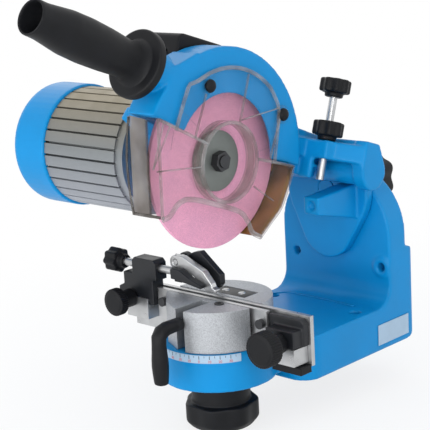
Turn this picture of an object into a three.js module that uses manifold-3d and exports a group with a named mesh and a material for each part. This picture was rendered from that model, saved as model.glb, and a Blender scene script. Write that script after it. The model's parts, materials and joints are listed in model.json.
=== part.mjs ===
// An electric bench sharpener for saw chains, in millimetres.
// X points from the operator to the column, Y to the motor and Z up.
// The origin is the middle of the foot's underside, and the head stands raised.
import * as THREE from 'three';
import { mergeVertices } from 'three/addons/utils/BufferGeometryUtils.js';
import Module from 'manifold-3d';

const wasm = await Module();
wasm.setup();

// Fits and tolerances shared by all pieces
const gap = 0.3;
const overrun = 4;
const weld = 1e-4;
const wall = 3;

// Number of sides of round pieces, and steps of arcs
const sides = { wheel: 80, large: 56, medium: 36, small: 20, tiny: 12 };
const arcSteps = 6;

// Angles in degrees
const raise = 18.6;
const handleTilt = 173.6;

// Foot and column
const foot = {
  front: -75, rear: 79, halfWidth: 61, top: 38.5, corner: 18, heel: 10, rearCorner: 6,
};
const column = {
  front: 43, rear: 68, shoulderLow: 84, shoulderHigh: 88, archRadius: 61, archCentre: 98.5, fillet: 18,
};
const columnHole = {
  radius: 4, ringRadius: 9, ringProud: 2, leftY: 45.7, leftZ: 74, rightY: -52, rightZ: 72,
};
const pocket = {
  rib: 5, roof: 8, halfX: 66, halfY: 53, pad: 9,
  floor: 60, low: 49, high: 80, upperFloor: 55, upperLow: 93, upperHigh: 111,
};
const pocketColumns = 4;
const pocketRows = 3;
const benchHole = { radius: 5, x: 9, y: 47 };
const seat = { x: -117, radius: 49, bottom: 10, top: 43, neckHalf: 42, neckTop: 38, neckEnd: -60 };
const scale = { low: 36, high: 42.7, thickness: 0.6 };
const scaleArc = { from: 165, to: 245, steps: 16 };
const label = { front: 23, rear: 68, low: 6, high: 24.5, thickness: 0.6 };

// Tilt joint between column and bracket
const tilt = {
  z: 140, plateRadius: 45, plateFront: 33, tongueY: 2, tongueZ: 104, tongueRadius: 28,
  boltRadius: 6, headRadius: 8.5, headDepth: 5, boltEnd: 100,
};
const tiltKnob = { radius: 26.6, lobe: 4, hubRadius: 14, hubEnd: 78, end: 103 };
const knobLobes = 7;

// Head hinge, whose axis runs along Y
const hinge = {
  x: 26, z: 162, tubeRadius: 12.5, tubeHalf: 46.5, springRadius: 8.7, chamberEnd: 34, pinRadius: 5,
};
const lug = {
  left: -34, right: -18, end: -20, endTop: 145, endLow: 130, rootTop: 148, rootLow: 117,
  socket: 4, socketDepth: 3,
};

// Head arm, measured from the hinge with the arm level
const ear = { thickness: 13, radius: 16, left: -17, top: 24.7, topRight: 1.2, low: 0 };
const earInner = hinge.tubeHalf + gap + gap;
const earOuter = earInner + ear.thickness;
const crossbar = { left: -15.5, right: -3, low: 14 };
const web = { left: -60, right: -15, front: -8, rear: 24, low: -12, topLeft: 28, topRight: 25 };
const shelf = {
  low: 4, high: 20, left: -64, faceX: -39.5, faceY: -12, cornerY: -35, bevelX: -31, bevelY: -37,
  right: -14,
};
const block = { left: -39.5, right: -34, front: -20.5, rear: -8, low: -14, ribLow: -4, ribHigh: -1 };

// Grinding wheel, whose housing and guard follow its radius
const wheel = { radius: 72.5, half: 1.6, hole: 11.1 };
const drawnRadius = 72.5;
const growth = wheel.radius / drawnRadius;

// Wheel housing and neck, measured from the wheel's centre
const housing = {
  clearance: 11.5, rim: 9, front: -16, rear: 14, openingRim: 17, skin: 3,
  padSet: 8.7, padRoot: 33, padLow: 11.5, padHigh: 52, padShoulder: 73,
};
const cavityRadius = wheel.radius + housing.clearance;
const housingRadius = cavityRadius + housing.rim;
const arm = { reach: 47.4, drop: 15.6 };
const wheelAt = { x: -housingRadius - arm.reach, z: -arm.drop };
const neck = { radius: 40, start: 9, end: 53.7, bore: 9 };
const gusset = { inner: 25, outer: 62, half: 6 };
const gussetTurn = 155;
const pedestal = { left: -30, right: 0, front: 18, rear: 50, low: 33, high: 45.7 };

// Handle, along its own axis from the wheel's centre
const handle = {
  lift: 47.5, bossRadius: 16, boss: 9, studRadius: 6, studDepth: 22, flangeRadius: 27.5, flange: 8,
  neckRadius: 15, bellyRadius: 17.5, tailRadius: 13.8, length: 114,
  hollowRadius: 10, hollowDepth: 26, studHead: 9, studHeadLength: 7,
};
const bossEnd = housingRadius + handle.boss;
const studStart = bossEnd - handle.studDepth;
const handleEnd = bossEnd + handle.length;
const hollowStart = handleEnd - handle.hollowDepth;
const handleAlong_shares = { neck: 0.03, belly: 0.5, tail: 0.88 };

// Switch box behind the housing, measured from the wheel's centre
const box = {
  left: -43.5, right: 11.5, front: 17, rear: 53.5, low: 46, high: 96, edge: 5,
  recessFront: 29, recessRear: 43, recessLow: 60, recessHigh: 82, recessDepth: 9,
};
const rocker = { clearance: 1.5, pivotX: -39, crown: 5.5, tip: 4.5, back: 2, half: 9.5 };
const rockerTurn = -7;
const gland = { x: -16, z: 80, radius: 6, nutRadius: 8.5, nut: 5, length: 13, bore: 3.2 };

// Motor, coaxial with the wheel
const motor = {
  start: 54, ringRadius: 50, finStart: 62, finRadius: 52, rootRadius: 47, bore: 42, end: 150,
  frontWall: 18, lip: 10, capRadius: 54, capEnd: 193, capRound: 8, capSkin: 5,
  ventInner: 18, ventOuter: 42, ventHalf: 2,
};
const finCount = 30;
const finHalf = 5;
const rootHalf = 0.6;
const ventCount = 10;
const stator = { start: 88, end: 128, inner: 24.8, windingInner: 27, windingOuter: 39, windingLength: 9.5 };
const rotor = { radius: 24.2, extra: 2 };
const bearing = { radius: 14, length: 7.4 };
const shield = { thickness: 9.4 };
const fan = { start: 158, length: 14, hub: 12, radius: 42, blade: 1.6, disc: 2.5 };
const bladeCount = 9;

// Spindle pieces along Y
const shaft = { radius: 6, noseRadius: 5, nose: -14, shoulder: 8.3, tail: 175 };
const flange = { radius: 25, outerFront: -6, innerRear: 8 };
const nut = { radius: 8.6, front: -13 };

// Clear guard, measured from the wheel's centre
const guard = {
  front: -20, skin: 2.5, rear: 12, fanRadius: 76, collarInner: 31, collarOuter: 33.4, collarRear: -9,
  ledgeGap: 1.5, screwLeftX: -37, screwLeftZ: 55.4, screwRightX: 56.1, screwRightZ: 48.7, lugRadius: 8,
  ribHalf: 1, ribHeight: 2,
};
const guardLeft = [[-88.7, 20.9], [-65.3, -54.6]];
const guardLower = [
  [-58, -50.9], [-51, -40.3], [-38.4, -35.1], [-9.9, -35.2], [20.5, -37.6], [33, -44.1], [41.1, -52.4],
];
const guardRight = [[52.9, -55.3], [72.9, -27.3], [78.2, -4.5], [79.5, 9]];
const guardLedge = [[33.3, 8.3], [-24.1, 10.6], [-43.2, 13.3]];
const fanLeft = [[-66.3, 14], [-60.7, 50.4], [-51.1, 56]];
const fanRight = [[50.3, 50.8], [55.6, 7.6]];
const fanArc = { from: 57, to: 127, steps: 12 };
const ribTurns = [25, 155];
const screw = { radius: 2, headRadius: 5.5, headLength: 4, slot: 1.2, slotDepth: 1.4, tip: -9 };

// Depth stop, measured from the hinge with the arm level
const depth = {
  x: -30.3, y: -26, rodRadius: 3.5, tip: -14, lockHub: 24, lockEnd: 37, knobStart: 58, knobHub: 62,
  knobEnd: 74, knobRadius: 13.5, hubRadius: 8, lobe: 1.8,
};
const gripLobes = 8;

// Vise, measured from the seat's axis
const drum = {
  inset: 1.3, low: 43.3, high: 77.8, slotLeft: -10, slotRight: 5.8, slotFloor: 51,
  leverFront: -8, leverRear: 2.7, leverEnd: -14.7, far: 60,
  recessLeft: 9, recessRight: 27, recessFront: -24, recessRear: 14, recessDepth: 3,
};
const drumRadius = seat.radius - drum.inset;
const drumFacets = [[-47.5, -2.3], [-35.1, 23.4], [-7.1, 50.1]];
const viseBolt = { radius: 6, low: -27, high: 49 };
const viseKnob = {
  radius: 31.5, lobe: 2, top: -12, ridge: -29, low: -33, lowRadius: 27, hubRadius: 25, hubTop: 9.7,
};
const rail = {
  half: 100, low: 36, step: 58, floor: 51.3, top: 77, thickness: 4, fixedX: 1.5, movingX: -7,
  movingHalf: 62,
};
const railBolt = { radius: 3, leftY: 54, rightY: -56.7, z: 66, head: 4, headRadius: 4, end: 5.2 };
const lever = {
  y: -4, z: 67.5, shaftRadius: 3.7, stubRadius: 5.8, stubEnd: -72, elbow: 6.5, gripTop: 5.5,
  gripMiddle: 7.5, gripLow: 6, low: 23,
};
const drumScrew = { x: -15, y: -18, radius: 4, depth: 6, proud: 0.8, socket: 2, socketDepth: 3 };

// Right chain guide, on the rail's -Y end
const guide = {
  left: -15.6, right: 1.2, inner: -67.5, outer: -96.5, low: 53.2, high: 67.3,
  backLeft: -5, backInner: -62.5, backOuter: -98.4, backHigh: 75, bevel: 3,
  knobY: -83, knobZ: 57, knobRadius: 14.5, knobLength: 13, knobHub: 12.4, travel: 6,
  plate: 1.9, skirtLow: 39, padLeft: -12, padInner: -70, padOuter: -100, padLow: 31.5, padHigh: 37.7,
};
const grip = { hubRadius: 8, shaftRadius: 3, knurl: 0.9 };
const knurls = 24;
const knurlSteps = 4;
const clampNut = { half: 7, thickness: 3.7, shaftEnd: 9.3 };

// Left chain stop, on the rail's +Y end
const stop = {
  left: -12, right: 1.2, low: 61.5, knobY: 88, knobZ: 66, knobRadius: 12, knobLength: 9, knobHub: 13,
  travel: 6,
  plate: 1.9, plateInner: 68, plateOuter: 94, plateLow: 49, plateHigh: 67,
};
const stopOutline = [
  [62.5, stop.low], [96, stop.low], [96, 67], [105, 67], [105, 73.5], [98.5, 76.5], [98.5, 87.5], [87, 87.5],
  [87, 99], [84, 102], [61, 102], [58, 99], [58, 84], [62.5, 84],
];
const rod = { x: -5, z: 94, radius: 3.5, shoulder: 44, studRadius: 2, start: 34, end: 118 };
const rodKnob = { radius: 11, lobe: 1.6, hubRadius: 6, start: 101.3, hubEnd: 107, end: 121 };
const pawl = {
  y: 44.5, z: 100.5, pinRadius: 2.5, bossRadius: 6.2, thickness: 6, headLength: 2, headRadius: 4.5,
};
const silverX = -1.2;
const spacerLength = 1.5;
const bar = { left: -8.5, right: -1.5 };
const barOutline = [[43.7, 88], [43.7, 97], [34, 96.8], [22, 91], [9.5, 87], [9.5, 84], [24, 86]];
const link = { left: -4, inner: 35, outer: 43.7, low: 84.5, high: 90 };
const lugPlate = { thickness: 2.3, outer: 50.5, high: 105.5 };
const silverOutline = [
  [50.6, 97], [49.5, 101.2], [46.4, 104.4], [40.6, 107], [36, 106.6], [12.2, 97.2], [3.4, 87.5], [2.4, 84.7],
  [-1, 82.8], [-1, 80.5], [10.2, 80.5], [23.5, 91.4], [44.5, 94.6],
];
const blackOutline = [
  [44, 103.6], [32.5, 108.7], [25.1, 110.4], [2.6, 93], [2.6, 84.8], [6.6, 80.6], [16, 86.6], [38, 95],
];

// Finishes: colour, roughness, metalness and opacity
const finishes = {
  bluePaint: [0x1e90d2, 0.35, 0.1, 1],
  castAluminium: [0xa9abad, 0.5, 0.8, 1],
  steel: [0xb9bbbe, 0.35, 0.9, 1],
  darkSteel: [0x55585c, 0.4, 0.8, 1],
  blackPlastic: [0x1d1e20, 0.55, 0, 1],
  blackPaint: [0x24262a, 0.4, 0.3, 1],
  pinkAbrasive: [0xd99fb2, 0.95, 0, 1],
  clearPlastic: [0xcfd4d2, 0.08, 0, 0.35],
  labelWhite: [0xd5e2ee, 0.5, 0, 1],
  copper: [0xb0602e, 0.4, 0.8, 1],
  laminate: [0x6c6e72, 0.55, 0.7, 1],
};

const degrees = THREE.MathUtils.degToRad;
const quarter = degrees(90);
const circle = 360;
const across = { x: ['y', 'z'], y: ['x', 'z'], z: ['x', 'y'] };

// A geometry as a solid that booleans can work on.
function solid(geometry) {
  const bare = geometry.clone();
  bare.deleteAttribute('normal');
  bare.deleteAttribute('uv');
  const merged = mergeVertices(bare, weld);
  const vertProperties = new Float32Array(merged.attributes.position.array);
  const triVerts = new Uint32Array(merged.index.array);
  return new wasm.Manifold(new wasm.Mesh({ numProp: 3, vertProperties, triVerts }));
}

function asSolid(shape) {
  return shape.isBufferGeometry ? solid(shape) : shape;
}

function join(first, ...others) {
  return others.reduce((body, shape) => body.add(asSolid(shape)), asSolid(first));
}

function cut(first, ...tools) {
  return tools.reduce((body, shape) => body.subtract(asSolid(shape)), asSolid(first));
}

function keep(first, ...others) {
  return others.reduce((body, shape) => body.intersect(asSolid(shape)), asSolid(first));
}

// Moves a shape made on an axis through the origin to the axis through the given centre.
function centred(geometry, axis, centre) {
  const move = new THREE.Vector3();
  move[across[axis][0]] = centre[0];
  move[across[axis][1]] = centre[1];
  return geometry.translate(move.x, move.y, move.z);
}

// A body of revolution from [radius, place along the axis] pairs, counter-clockwise.
function revolve(axis, profile, count, centre = [0, 0]) {
  const points = profile.map(([radius, along]) => new THREE.Vector2(radius, along));
  if (points[0].x > 0) points.push(points[0].clone());
  const geometry = new THREE.LatheGeometry(points, count);
  if (axis === 'x') geometry.rotateZ(-quarter);
  if (axis === 'z') geometry.rotateX(quarter);
  return centred(geometry, axis, centre);
}

function disc(axis, radius, from, to, count, centre) {
  return revolve(axis, [[0, from], [radius, from], [radius, to], [0, to]], count, centre);
}

function tube(axis, inner, outer, from, to, count, centre) {
  return revolve(axis, [[inner, from], [outer, from], [outer, to], [inner, to]], count, centre);
}

// An outline in the plane across the axis, extruded along it.
function prism(axis, outline, from, to) {
  const shape = new THREE.Shape(outline.map(([u, v]) => new THREE.Vector2(u, v)));
  const geometry = new THREE.ExtrudeGeometry(shape, { depth: to - from, bevelEnabled: false });
  if (axis === 'z') return geometry.translate(0, 0, from);
  if (axis === 'y') return geometry.rotateX(quarter).translate(0, to, 0);
  const turn = new THREE.Matrix4().makeBasis(
    new THREE.Vector3(0, 1, 0), new THREE.Vector3(0, 0, 1), new THREE.Vector3(1, 0, 0));
  return geometry.applyMatrix4(turn).translate(from, 0, 0);
}

function slab([x0, x1], [y0, y1], [z0, z1]) {
  const geometry = new THREE.BoxGeometry(x1 - x0, y1 - y0, z1 - z0);
  return geometry.translate((x0 + x1) / 2, (y0 + y1) / 2, (z0 + z1) / 2);
}

// Points of an arc, from one angle to another in degrees.
function arc(u, v, radius, from, to, steps = arcSteps) {
  return Array.from({ length: steps + 1 }, (_, i) => {
    const angle = degrees(from + (to - from) * i / steps);
    return [u + radius * Math.cos(angle), v + radius * Math.sin(angle)];
  });
}

// The outline of a hand knob whose rim dips between its lobes.
function lobedOutline(radius, dip, lobes, steps, [u, v]) {
  return Array.from({ length: lobes * steps }, (_, i) => {
    const angle = degrees(circle * i / (lobes * steps));
    const reach = radius - dip * (1 - Math.cos(lobes * angle)) / 2;
    return [u + reach * Math.cos(angle), v + reach * Math.sin(angle)];
  });
}

// The outline of a band drawn tight round two circles, each given as [u, v, radius].
function bandOutline([u0, v0, r0], [u1, v1, r1], steps) {
  const long = Math.hypot(u1 - u0, v1 - v0);
  const along = THREE.MathUtils.radToDeg(Math.atan2(v1 - v0, u1 - u0));
  const open = THREE.MathUtils.radToDeg(Math.acos((r0 - r1) / long));
  return [
    ...arc(u0, v0, r0, along + open, along + circle - open, steps),
    ...arc(u1, v1, r1, along - open, along + open, steps),
  ];
}

// Shifts points measured from the wheel's centre into the head's frame.
function fromWheel(points) {
  return points.map(([x, z]) => [wheelAt.x + x, wheelAt.z + z]);
}

// Sizes points drawn for the drawn wheel to the real one.
function grown(points) {
  return points.map(([x, z]) => [x * growth, z * growth]);
}

const wheelCentre = [wheelAt.x, wheelAt.z];

// Base

function baseBlank() {
  const top = column.archCentre + column.archRadius;
  const side = [
    [foot.front, 0],
    ...arc(foot.rear - foot.heel, foot.heel, foot.heel, -90, 0),
    [foot.rear, column.shoulderLow],
    [column.rear, column.shoulderHigh],
    [column.rear, top],
    [column.front, top],
    ...arc(column.front - column.fillet, foot.top + column.fillet, column.fillet, 0, -90),
    [foot.front, foot.top],
  ];
  const face = [
    [-foot.halfWidth, 0],
    [foot.halfWidth, 0],
    ...arc(0, column.archCentre, column.archRadius, 0, 180, sides.small),
  ];
  const innerY = foot.halfWidth - foot.corner;
  const rearY = foot.halfWidth - foot.rearCorner;
  const rearX = foot.rear - foot.rearCorner;
  const plan = [
    ...arc(foot.front + foot.corner, innerY, foot.corner, 90, 180),
    ...arc(foot.front + foot.corner, -innerY, foot.corner, 180, 270),
    ...arc(rearX, -rearY, foot.rearCorner, -90, 0),
    ...arc(rearX, rearY, foot.rearCorner, 0, 90),
  ];
  return keep(
    prism('y', side, -foot.halfWidth, foot.halfWidth),
    prism('x', face, foot.front, foot.rear),
    prism('z', plan, 0, top),
  );
}

function footPockets() {
  const stepX = (2 * pocket.halfX + pocket.rib) / pocketColumns;
  const stepY = (2 * pocket.halfY + pocket.rib) / pocketRows;
  const cells = [];
  for (let i = 0; i < pocketColumns; i += 1) {
    for (let j = 0; j < pocketRows; j += 1) {
      const x = -pocket.halfX + i * stepX;
      const y = -pocket.halfY + j * stepY;
      const high = foot.top - pocket.roof;
      cells.push(slab([x, x + stepX - pocket.rib], [y, y + stepY - pocket.rib], [-overrun, high]));
    }
  }
  return cut(join(...cells), disc('z', pocket.pad, -overrun, foot.top, sides.small));
}

function rearPockets() {
  const stepY = (2 * pocket.halfY + pocket.rib) / pocketRows;
  const cells = [];
  for (let j = 0; j < pocketRows; j += 1) {
    const y = -pocket.halfY + j * stepY;
    const span = [y, y + stepY - pocket.rib];
    const rear = foot.rear + overrun;
    cells.push(slab([pocket.floor, rear], span, [pocket.low, pocket.high]));
    cells.push(slab([pocket.upperFloor, rear], span, [pocket.upperLow, pocket.upperHigh]));
  }
  return join(...cells);
}

function baseCasting() {
  const left = [columnHole.leftY, columnHole.leftZ];
  const right = [columnHole.rightY, columnHole.rightZ];
  const ringFront = column.front - columnHole.ringProud;
  const body = join(
    baseBlank(),
    disc('z', seat.radius, seat.bottom, seat.top, sides.large, [seat.x, 0]),
    slab([seat.x, seat.neckEnd], [-seat.neckHalf, seat.neckHalf], [seat.bottom, seat.neckTop]),
    disc('x', columnHole.ringRadius, ringFront, column.rear, sides.small, right),
  );
  const through = [column.front - overrun, foot.rear + overrun];
  const holes = [left, right].map((centre) => disc('x', columnHole.radius, ...through, sides.tiny, centre));
  const benchHoles = [-benchHole.y, benchHole.y].map((y) => (
    disc('z', benchHole.radius, -overrun, foot.top + overrun, sides.tiny, [benchHole.x, y])));
  return cut(
    body,
    footPockets(),
    rearPockets(),
    ...holes,
    ...benchHoles,
    disc('z', viseBolt.radius + gap, 0, seat.top + overrun, sides.small, [seat.x, 0]),
    disc('x', tilt.boltRadius + gap, ...through, sides.small, [0, tilt.z]),
  );
}

function angleScale() {
  const inner = seat.radius + gap;
  const outline = [
    ...arc(seat.x, 0, inner + scale.thickness, scaleArc.from, scaleArc.to, scaleArc.steps),
    ...arc(seat.x, 0, inner, scaleArc.to, scaleArc.from, scaleArc.steps),
  ];
  return solid(prism('z', outline, scale.low, scale.high));
}

function labelPlate() {
  const inner = -foot.halfWidth - gap;
  return solid(slab([label.front, label.rear], [inner - label.thickness, inner], [label.low, label.high]));
}

function tiltBolt() {
  const centre = [0, tilt.z];
  const headEnd = tilt.plateFront + tilt.headDepth;
  return join(
    disc('x', tilt.headRadius, tilt.plateFront, headEnd, sides.small, centre),
    disc('x', tilt.boltRadius, headEnd, tilt.boltEnd, sides.small, centre),
  );
}

function tiltLockKnob() {
  const start = column.rear + gap;
  const centre = [0, tilt.z];
  const rim = lobedOutline(tiltKnob.radius, tiltKnob.lobe, knobLobes, arcSteps, centre);
  return cut(
    join(
      disc('x', tiltKnob.hubRadius, start, tiltKnob.end, sides.small, centre),
      prism('x', rim, tiltKnob.hubEnd, tiltKnob.end),
    ),
    disc('x', tilt.boltRadius + gap, start - overrun, tilt.boltEnd + gap, sides.small, centre),
  );
}

// Tilt bracket

function tiltBracket() {
  const rear = column.front - gap;
  const hingeAt = [hinge.x, hinge.z];
  const lugOutline = [
    [lug.end, lug.endLow],
    [tilt.plateFront + gap, lug.rootLow],
    [tilt.plateFront + gap, lug.rootTop],
    [lug.end, lug.endTop],
  ];
  const middleY = (lug.left + lug.right) / 2;
  const middleZ = (lug.endTop + lug.endLow) / 2;
  const plate = bandOutline(
    [0, tilt.z, tilt.plateRadius], [tilt.tongueY, tilt.tongueZ, tilt.tongueRadius], sides.small);
  const seatEnd = tilt.plateFront + tilt.headDepth + gap;
  return cut(
    join(
      prism('x', plate, tilt.plateFront, rear),
      disc('y', hinge.tubeRadius, -hinge.tubeHalf, hinge.tubeHalf, sides.medium, hingeAt),
      prism('y', lugOutline, lug.left, lug.right),
    ),
    disc('y', hinge.springRadius + gap, -hinge.tubeHalf - overrun, hinge.chamberEnd, sides.medium, hingeAt),
    disc('y', hinge.pinRadius + gap, 0, hinge.tubeHalf + overrun, sides.small, hingeAt),
    disc('x', tilt.boltRadius + gap, tilt.plateFront, column.front, sides.small, [0, tilt.z]),
    disc('x', tilt.headRadius + gap, tilt.plateFront - overrun, seatEnd, sides.small, [0, tilt.z]),
    disc('x', lug.socket, lug.end - overrun, lug.end + lug.socketDepth, sides.tiny, [middleY, middleZ]),
  );
}

function headHingePin() {
  return solid(disc('y', hinge.pinRadius, wall - earOuter, earOuter, sides.small, [hinge.x, hinge.z]));
}

function returnSpring() {
  const start = -hinge.tubeHalf + gap;
  const end = hinge.chamberEnd - gap;
  const inner = hinge.pinRadius + gap;
  return solid(tube('y', inner, hinge.springRadius, start, end, sides.small, [hinge.x, hinge.z]));
}

// Head casting

function earOutline() {
  return [
    [ear.left, ear.low],
    [ear.left, ear.top],
    [ear.topRight, ear.top],
    ...arc(0, 0, ear.radius, 45, -170, sides.small),
  ];
}

function shelfBody() {
  const half = (side) => [
    [shelf.faceX, side * -shelf.cornerY],
    [shelf.bevelX, side * -shelf.bevelY],
    [ear.left, side * earOuter],
    [0, side * earOuter],
    [0, side * earInner],
    [shelf.right, side * earInner],
  ];
  const outline = [
    [shelf.left, shelf.faceY],
    [shelf.faceX, shelf.faceY],
    ...half(-1),
    ...half(1).reverse(),
    [shelf.faceX, web.rear],
    [shelf.left, web.rear],
  ];
  return prism('z', outline, shelf.low, shelf.high);
}

function armBody() {
  const webSide = [
    [web.left, web.low],
    [web.right, web.low],
    [web.right, web.topRight],
    [web.left, web.topLeft],
  ];
  return join(
    prism('y', webSide, web.front, web.rear),
    shelfBody(),
    prism('y', earOutline(), -earOuter, -earInner),
    prism('y', earOutline(), earInner, earOuter),
    slab([crossbar.left, crossbar.right], [-earOuter, earOuter], [crossbar.low, ear.top]),
    slab([block.left, block.right], [block.front, block.rear], [block.low, shelf.low]),
    slab([block.right, web.right], [block.front, block.rear], [block.ribLow, block.ribHigh]),
  );
}

// Axis of the handle: a geometry made along X from the wheel's centre is turned and lifted into place.
function alongHandle(geometry) {
  geometry.rotateY(-degrees(handleTilt));
  const lift = degrees(handleTilt) - quarter;
  return geometry.translate(
    wheelAt.x + handle.lift * Math.cos(lift), 0, wheelAt.z + handle.lift * Math.sin(lift));
}

function padBody() {
  const turn = degrees(handleTilt);
  const place = (reach, rise) => [
    reach * Math.cos(turn) + rise * Math.sin(turn),
    reach * Math.sin(turn) - rise * Math.cos(turn),
  ];
  const root = housingRadius - housing.padRoot;
  const face = housingRadius - housing.padSet;
  const outline = fromWheel([
    place(root, housing.padLow),
    place(face, housing.padLow),
    place(face, housing.padHigh),
    place(root, housing.padShoulder),
  ]);
  return prism('y', outline, housing.front, housing.rear);
}

function housingBelow() {
  const lift = guard.ledgeGap;
  const raised = ledgeLine().map(([x, z]) => [x, z + lift]);
  const reach = 2 * housingRadius;
  const outline = fromWheel([
    [-reach, -reach], [reach, -reach], [reach, raised[raised.length - 1][1]],
    ...raised.slice().reverse(), [-reach, raised[0][1]],
  ]);
  return prism('y', outline, housing.front - overrun, housing.rear + overrun);
}

function housingShell() {
  const cavity = disc('y', cavityRadius, housing.front + housing.skin, housing.rear - housing.skin,
    sides.large, wheelCentre);
  const opening = disc('y', wheel.radius - housing.openingRim, housing.front - overrun, 0, sides.large,
    wheelCentre);
  const outer = join(
    disc('y', housingRadius, housing.front, housing.rear, sides.large, wheelCentre), padBody());
  return cut(outer, cavity, opening, housingBelow());
}

function headCasting() {
  const neckGusset = slab([gusset.inner, gusset.outer], [housing.rear - housing.skin, neck.end],
    [-gusset.half, gusset.half]);
  neckGusset.rotateY(-degrees(gussetTurn)).translate(wheelAt.x, 0, wheelAt.z);
  const pedestalBody = slab([wheelAt.x + pedestal.left, wheelAt.x + pedestal.right],
    [pedestal.front, pedestal.rear], [wheelAt.z + pedestal.low, wheelAt.z + pedestal.high]);
  const body = join(
    housingShell(),
    armBody(),
    disc('y', neck.radius, neck.start, neck.end, sides.large, wheelCentre),
    neckGusset,
    pedestalBody,
    alongHandle(disc('x', handle.bossRadius, housingRadius - housing.padSet - wall, bossEnd, sides.small)),
  );
  const screwHoles = guardScrewPlaces().map((centre) => (
    disc('y', screw.radius + gap, housing.front - overrun, 0, sides.tiny, centre)));
  return cut(
    body,
    disc('y', neck.bore, 0, neck.end + overrun, sides.small, wheelCentre),
    disc('y', hinge.pinRadius + gap, wall - gap - earOuter, earOuter + overrun, sides.small, [0, 0]),
    disc('z', depth.rodRadius + gap, depth.tip - overrun, shelf.high + overrun, sides.small,
      [depth.x, depth.y]),
    alongHandle(disc('x', handle.studRadius + gap, studStart, bossEnd + overrun, sides.small)),
    ...screwHoles,
  );
}

// Handle

function handleGrip() {
  const start = bossEnd + gap;
  const flangeEnd = bossEnd + handle.flange;
  const long = handleEnd - flangeEnd;
  const share = handleAlong_shares;
  const bore = handle.studRadius + gap;
  return solid(alongHandle(revolve('x', [
    [bore, start],
    [handle.flangeRadius, start],
    [handle.flangeRadius, flangeEnd],
    [handle.neckRadius, flangeEnd + long * share.neck],
    [handle.bellyRadius, flangeEnd + long * share.belly],
    [handle.tailRadius, flangeEnd + long * share.tail],
    [handle.tailRadius, handleEnd],
    [handle.hollowRadius, handleEnd],
    [handle.hollowRadius, hollowStart],
    [bore, hollowStart],
  ], sides.medium)));
}

function handleStud() {
  const headStart = hollowStart + gap;
  const headEnd = hollowStart + handle.studHeadLength;
  return join(
    alongHandle(disc('x', handle.studRadius, studStart + gap, headEnd, sides.small)),
    alongHandle(disc('x', handle.studHead, headStart, headEnd, sides.small)),
  );
}

// Switch box

function switchBox() {
  const x = [wheelAt.x + box.left, wheelAt.x + box.right];
  const z = [wheelAt.z + box.low, wheelAt.z + box.high];
  const outline = [
    [x[0], z[0]],
    [x[1], z[0]],
    ...arc(x[1] - box.edge, z[1] - box.edge, box.edge, 0, 90, arcSteps / 2),
    ...arc(x[0] + box.edge, z[1] - box.edge, box.edge, 90, 180, arcSteps / 2),
  ];
  const glandAt = [wheelAt.x + gland.x, wheelAt.z + gland.z];
  return cut(
    prism('y', outline, box.front, box.rear),
    slab([x[0] - overrun, x[0] + box.recessDepth], [box.recessFront, box.recessRear],
      [wheelAt.z + box.recessLow, wheelAt.z + box.recessHigh]),
    disc('y', gland.radius + gap, box.rear - gland.nut, box.rear + overrun, sides.small, glandAt),
  );
}

function switchRocker() {
  const middle = (box.recessLow + box.recessHigh) / 2;
  const outline = [
    [rocker.back, -rocker.half],
    [rocker.back, rocker.half],
    [-rocker.crown, rocker.half],
    [-rocker.tip, 0],
    [-rocker.crown, -rocker.half],
  ];
  const front = box.recessFront + rocker.clearance / 2;
  const rear = box.recessRear - rocker.clearance / 2;
  const geometry = prism('y', outline, front, rear);
  geometry.rotateY(degrees(rockerTurn));
  return solid(geometry.translate(wheelAt.x + rocker.pivotX, 0, wheelAt.z + middle));
}

function cableGland() {
  const centre = [wheelAt.x + gland.x, wheelAt.z + gland.z];
  const outer = box.rear + gap;
  return cut(
    join(
      disc('y', gland.radius, box.rear - gland.nut + gap, outer + gland.length, sides.small, centre),
      disc('y', gland.nutRadius, outer, outer + gland.nut, sides.tiny / 2, centre),
    ),
    disc('y', gland.bore, box.rear, outer + gland.length + overrun, sides.tiny, centre),
  );
}

// Motor

function motorShell() {
  const outline = [];
  for (let i = 0; i < finCount; i += 1) {
    const middle = circle * i / finCount;
    const valley = middle + circle / finCount / 2;
    outline.push(...arc(0, 0, motor.finRadius, middle - finHalf, middle + finHalf, 1));
    outline.push(...arc(0, 0, motor.rootRadius, valley - rootHalf, valley + rootHalf, 1));
  }
  const seatEnd = motor.start + bearing.length + gap;
  return cut(
    join(
      prism('y', fromWheel(outline), motor.finStart, motor.end),
      disc('y', motor.ringRadius, motor.start, motor.finStart, sides.large, wheelCentre),
    ),
    disc('y', motor.bore, motor.start + motor.frontWall, motor.end + overrun, sides.large, wheelCentre),
    disc('y', bearing.radius + gap, motor.start - overrun, seatEnd, sides.medium, wheelCentre),
    disc('y', motor.lip, seatEnd, motor.start + motor.frontWall + overrun, sides.medium, wheelCentre),
  );
}

function motorEndCap() {
  const start = motor.end + gap;
  const inner = motor.capRadius - motor.capSkin;
  const floor = motor.capEnd - motor.capSkin;
  const rim = arc(motor.capRadius - motor.capRound, motor.capEnd - motor.capRound, motor.capRound, 0, 90);
  const shell = revolve('y', [
    [inner, start],
    [motor.capRadius, start],
    ...rim,
    [0, motor.capEnd],
    [0, floor],
    [inner, floor],
  ], sides.large, wheelCentre);
  const vents = Array.from({ length: ventCount }, (_, i) => {
    const slot = slab([motor.ventInner, motor.ventOuter], [floor - overrun, motor.capEnd + overrun],
      [-motor.ventHalf, motor.ventHalf]);
    return slot.rotateY(degrees(circle * i / ventCount)).translate(wheelAt.x, 0, wheelAt.z);
  });
  return cut(shell, ...vents);
}

function rearEndShield() {
  const end = motor.end - gap;
  const start = end - shield.thickness;
  const seatStart = end - bearing.length - gap;
  return cut(
    disc('y', motor.bore - gap, start, end, sides.large, wheelCentre),
    disc('y', bearing.radius + gap, seatStart, end + overrun, sides.medium, wheelCentre),
    disc('y', motor.lip, start - overrun, end, sides.medium, wheelCentre),
  );
}

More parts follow.
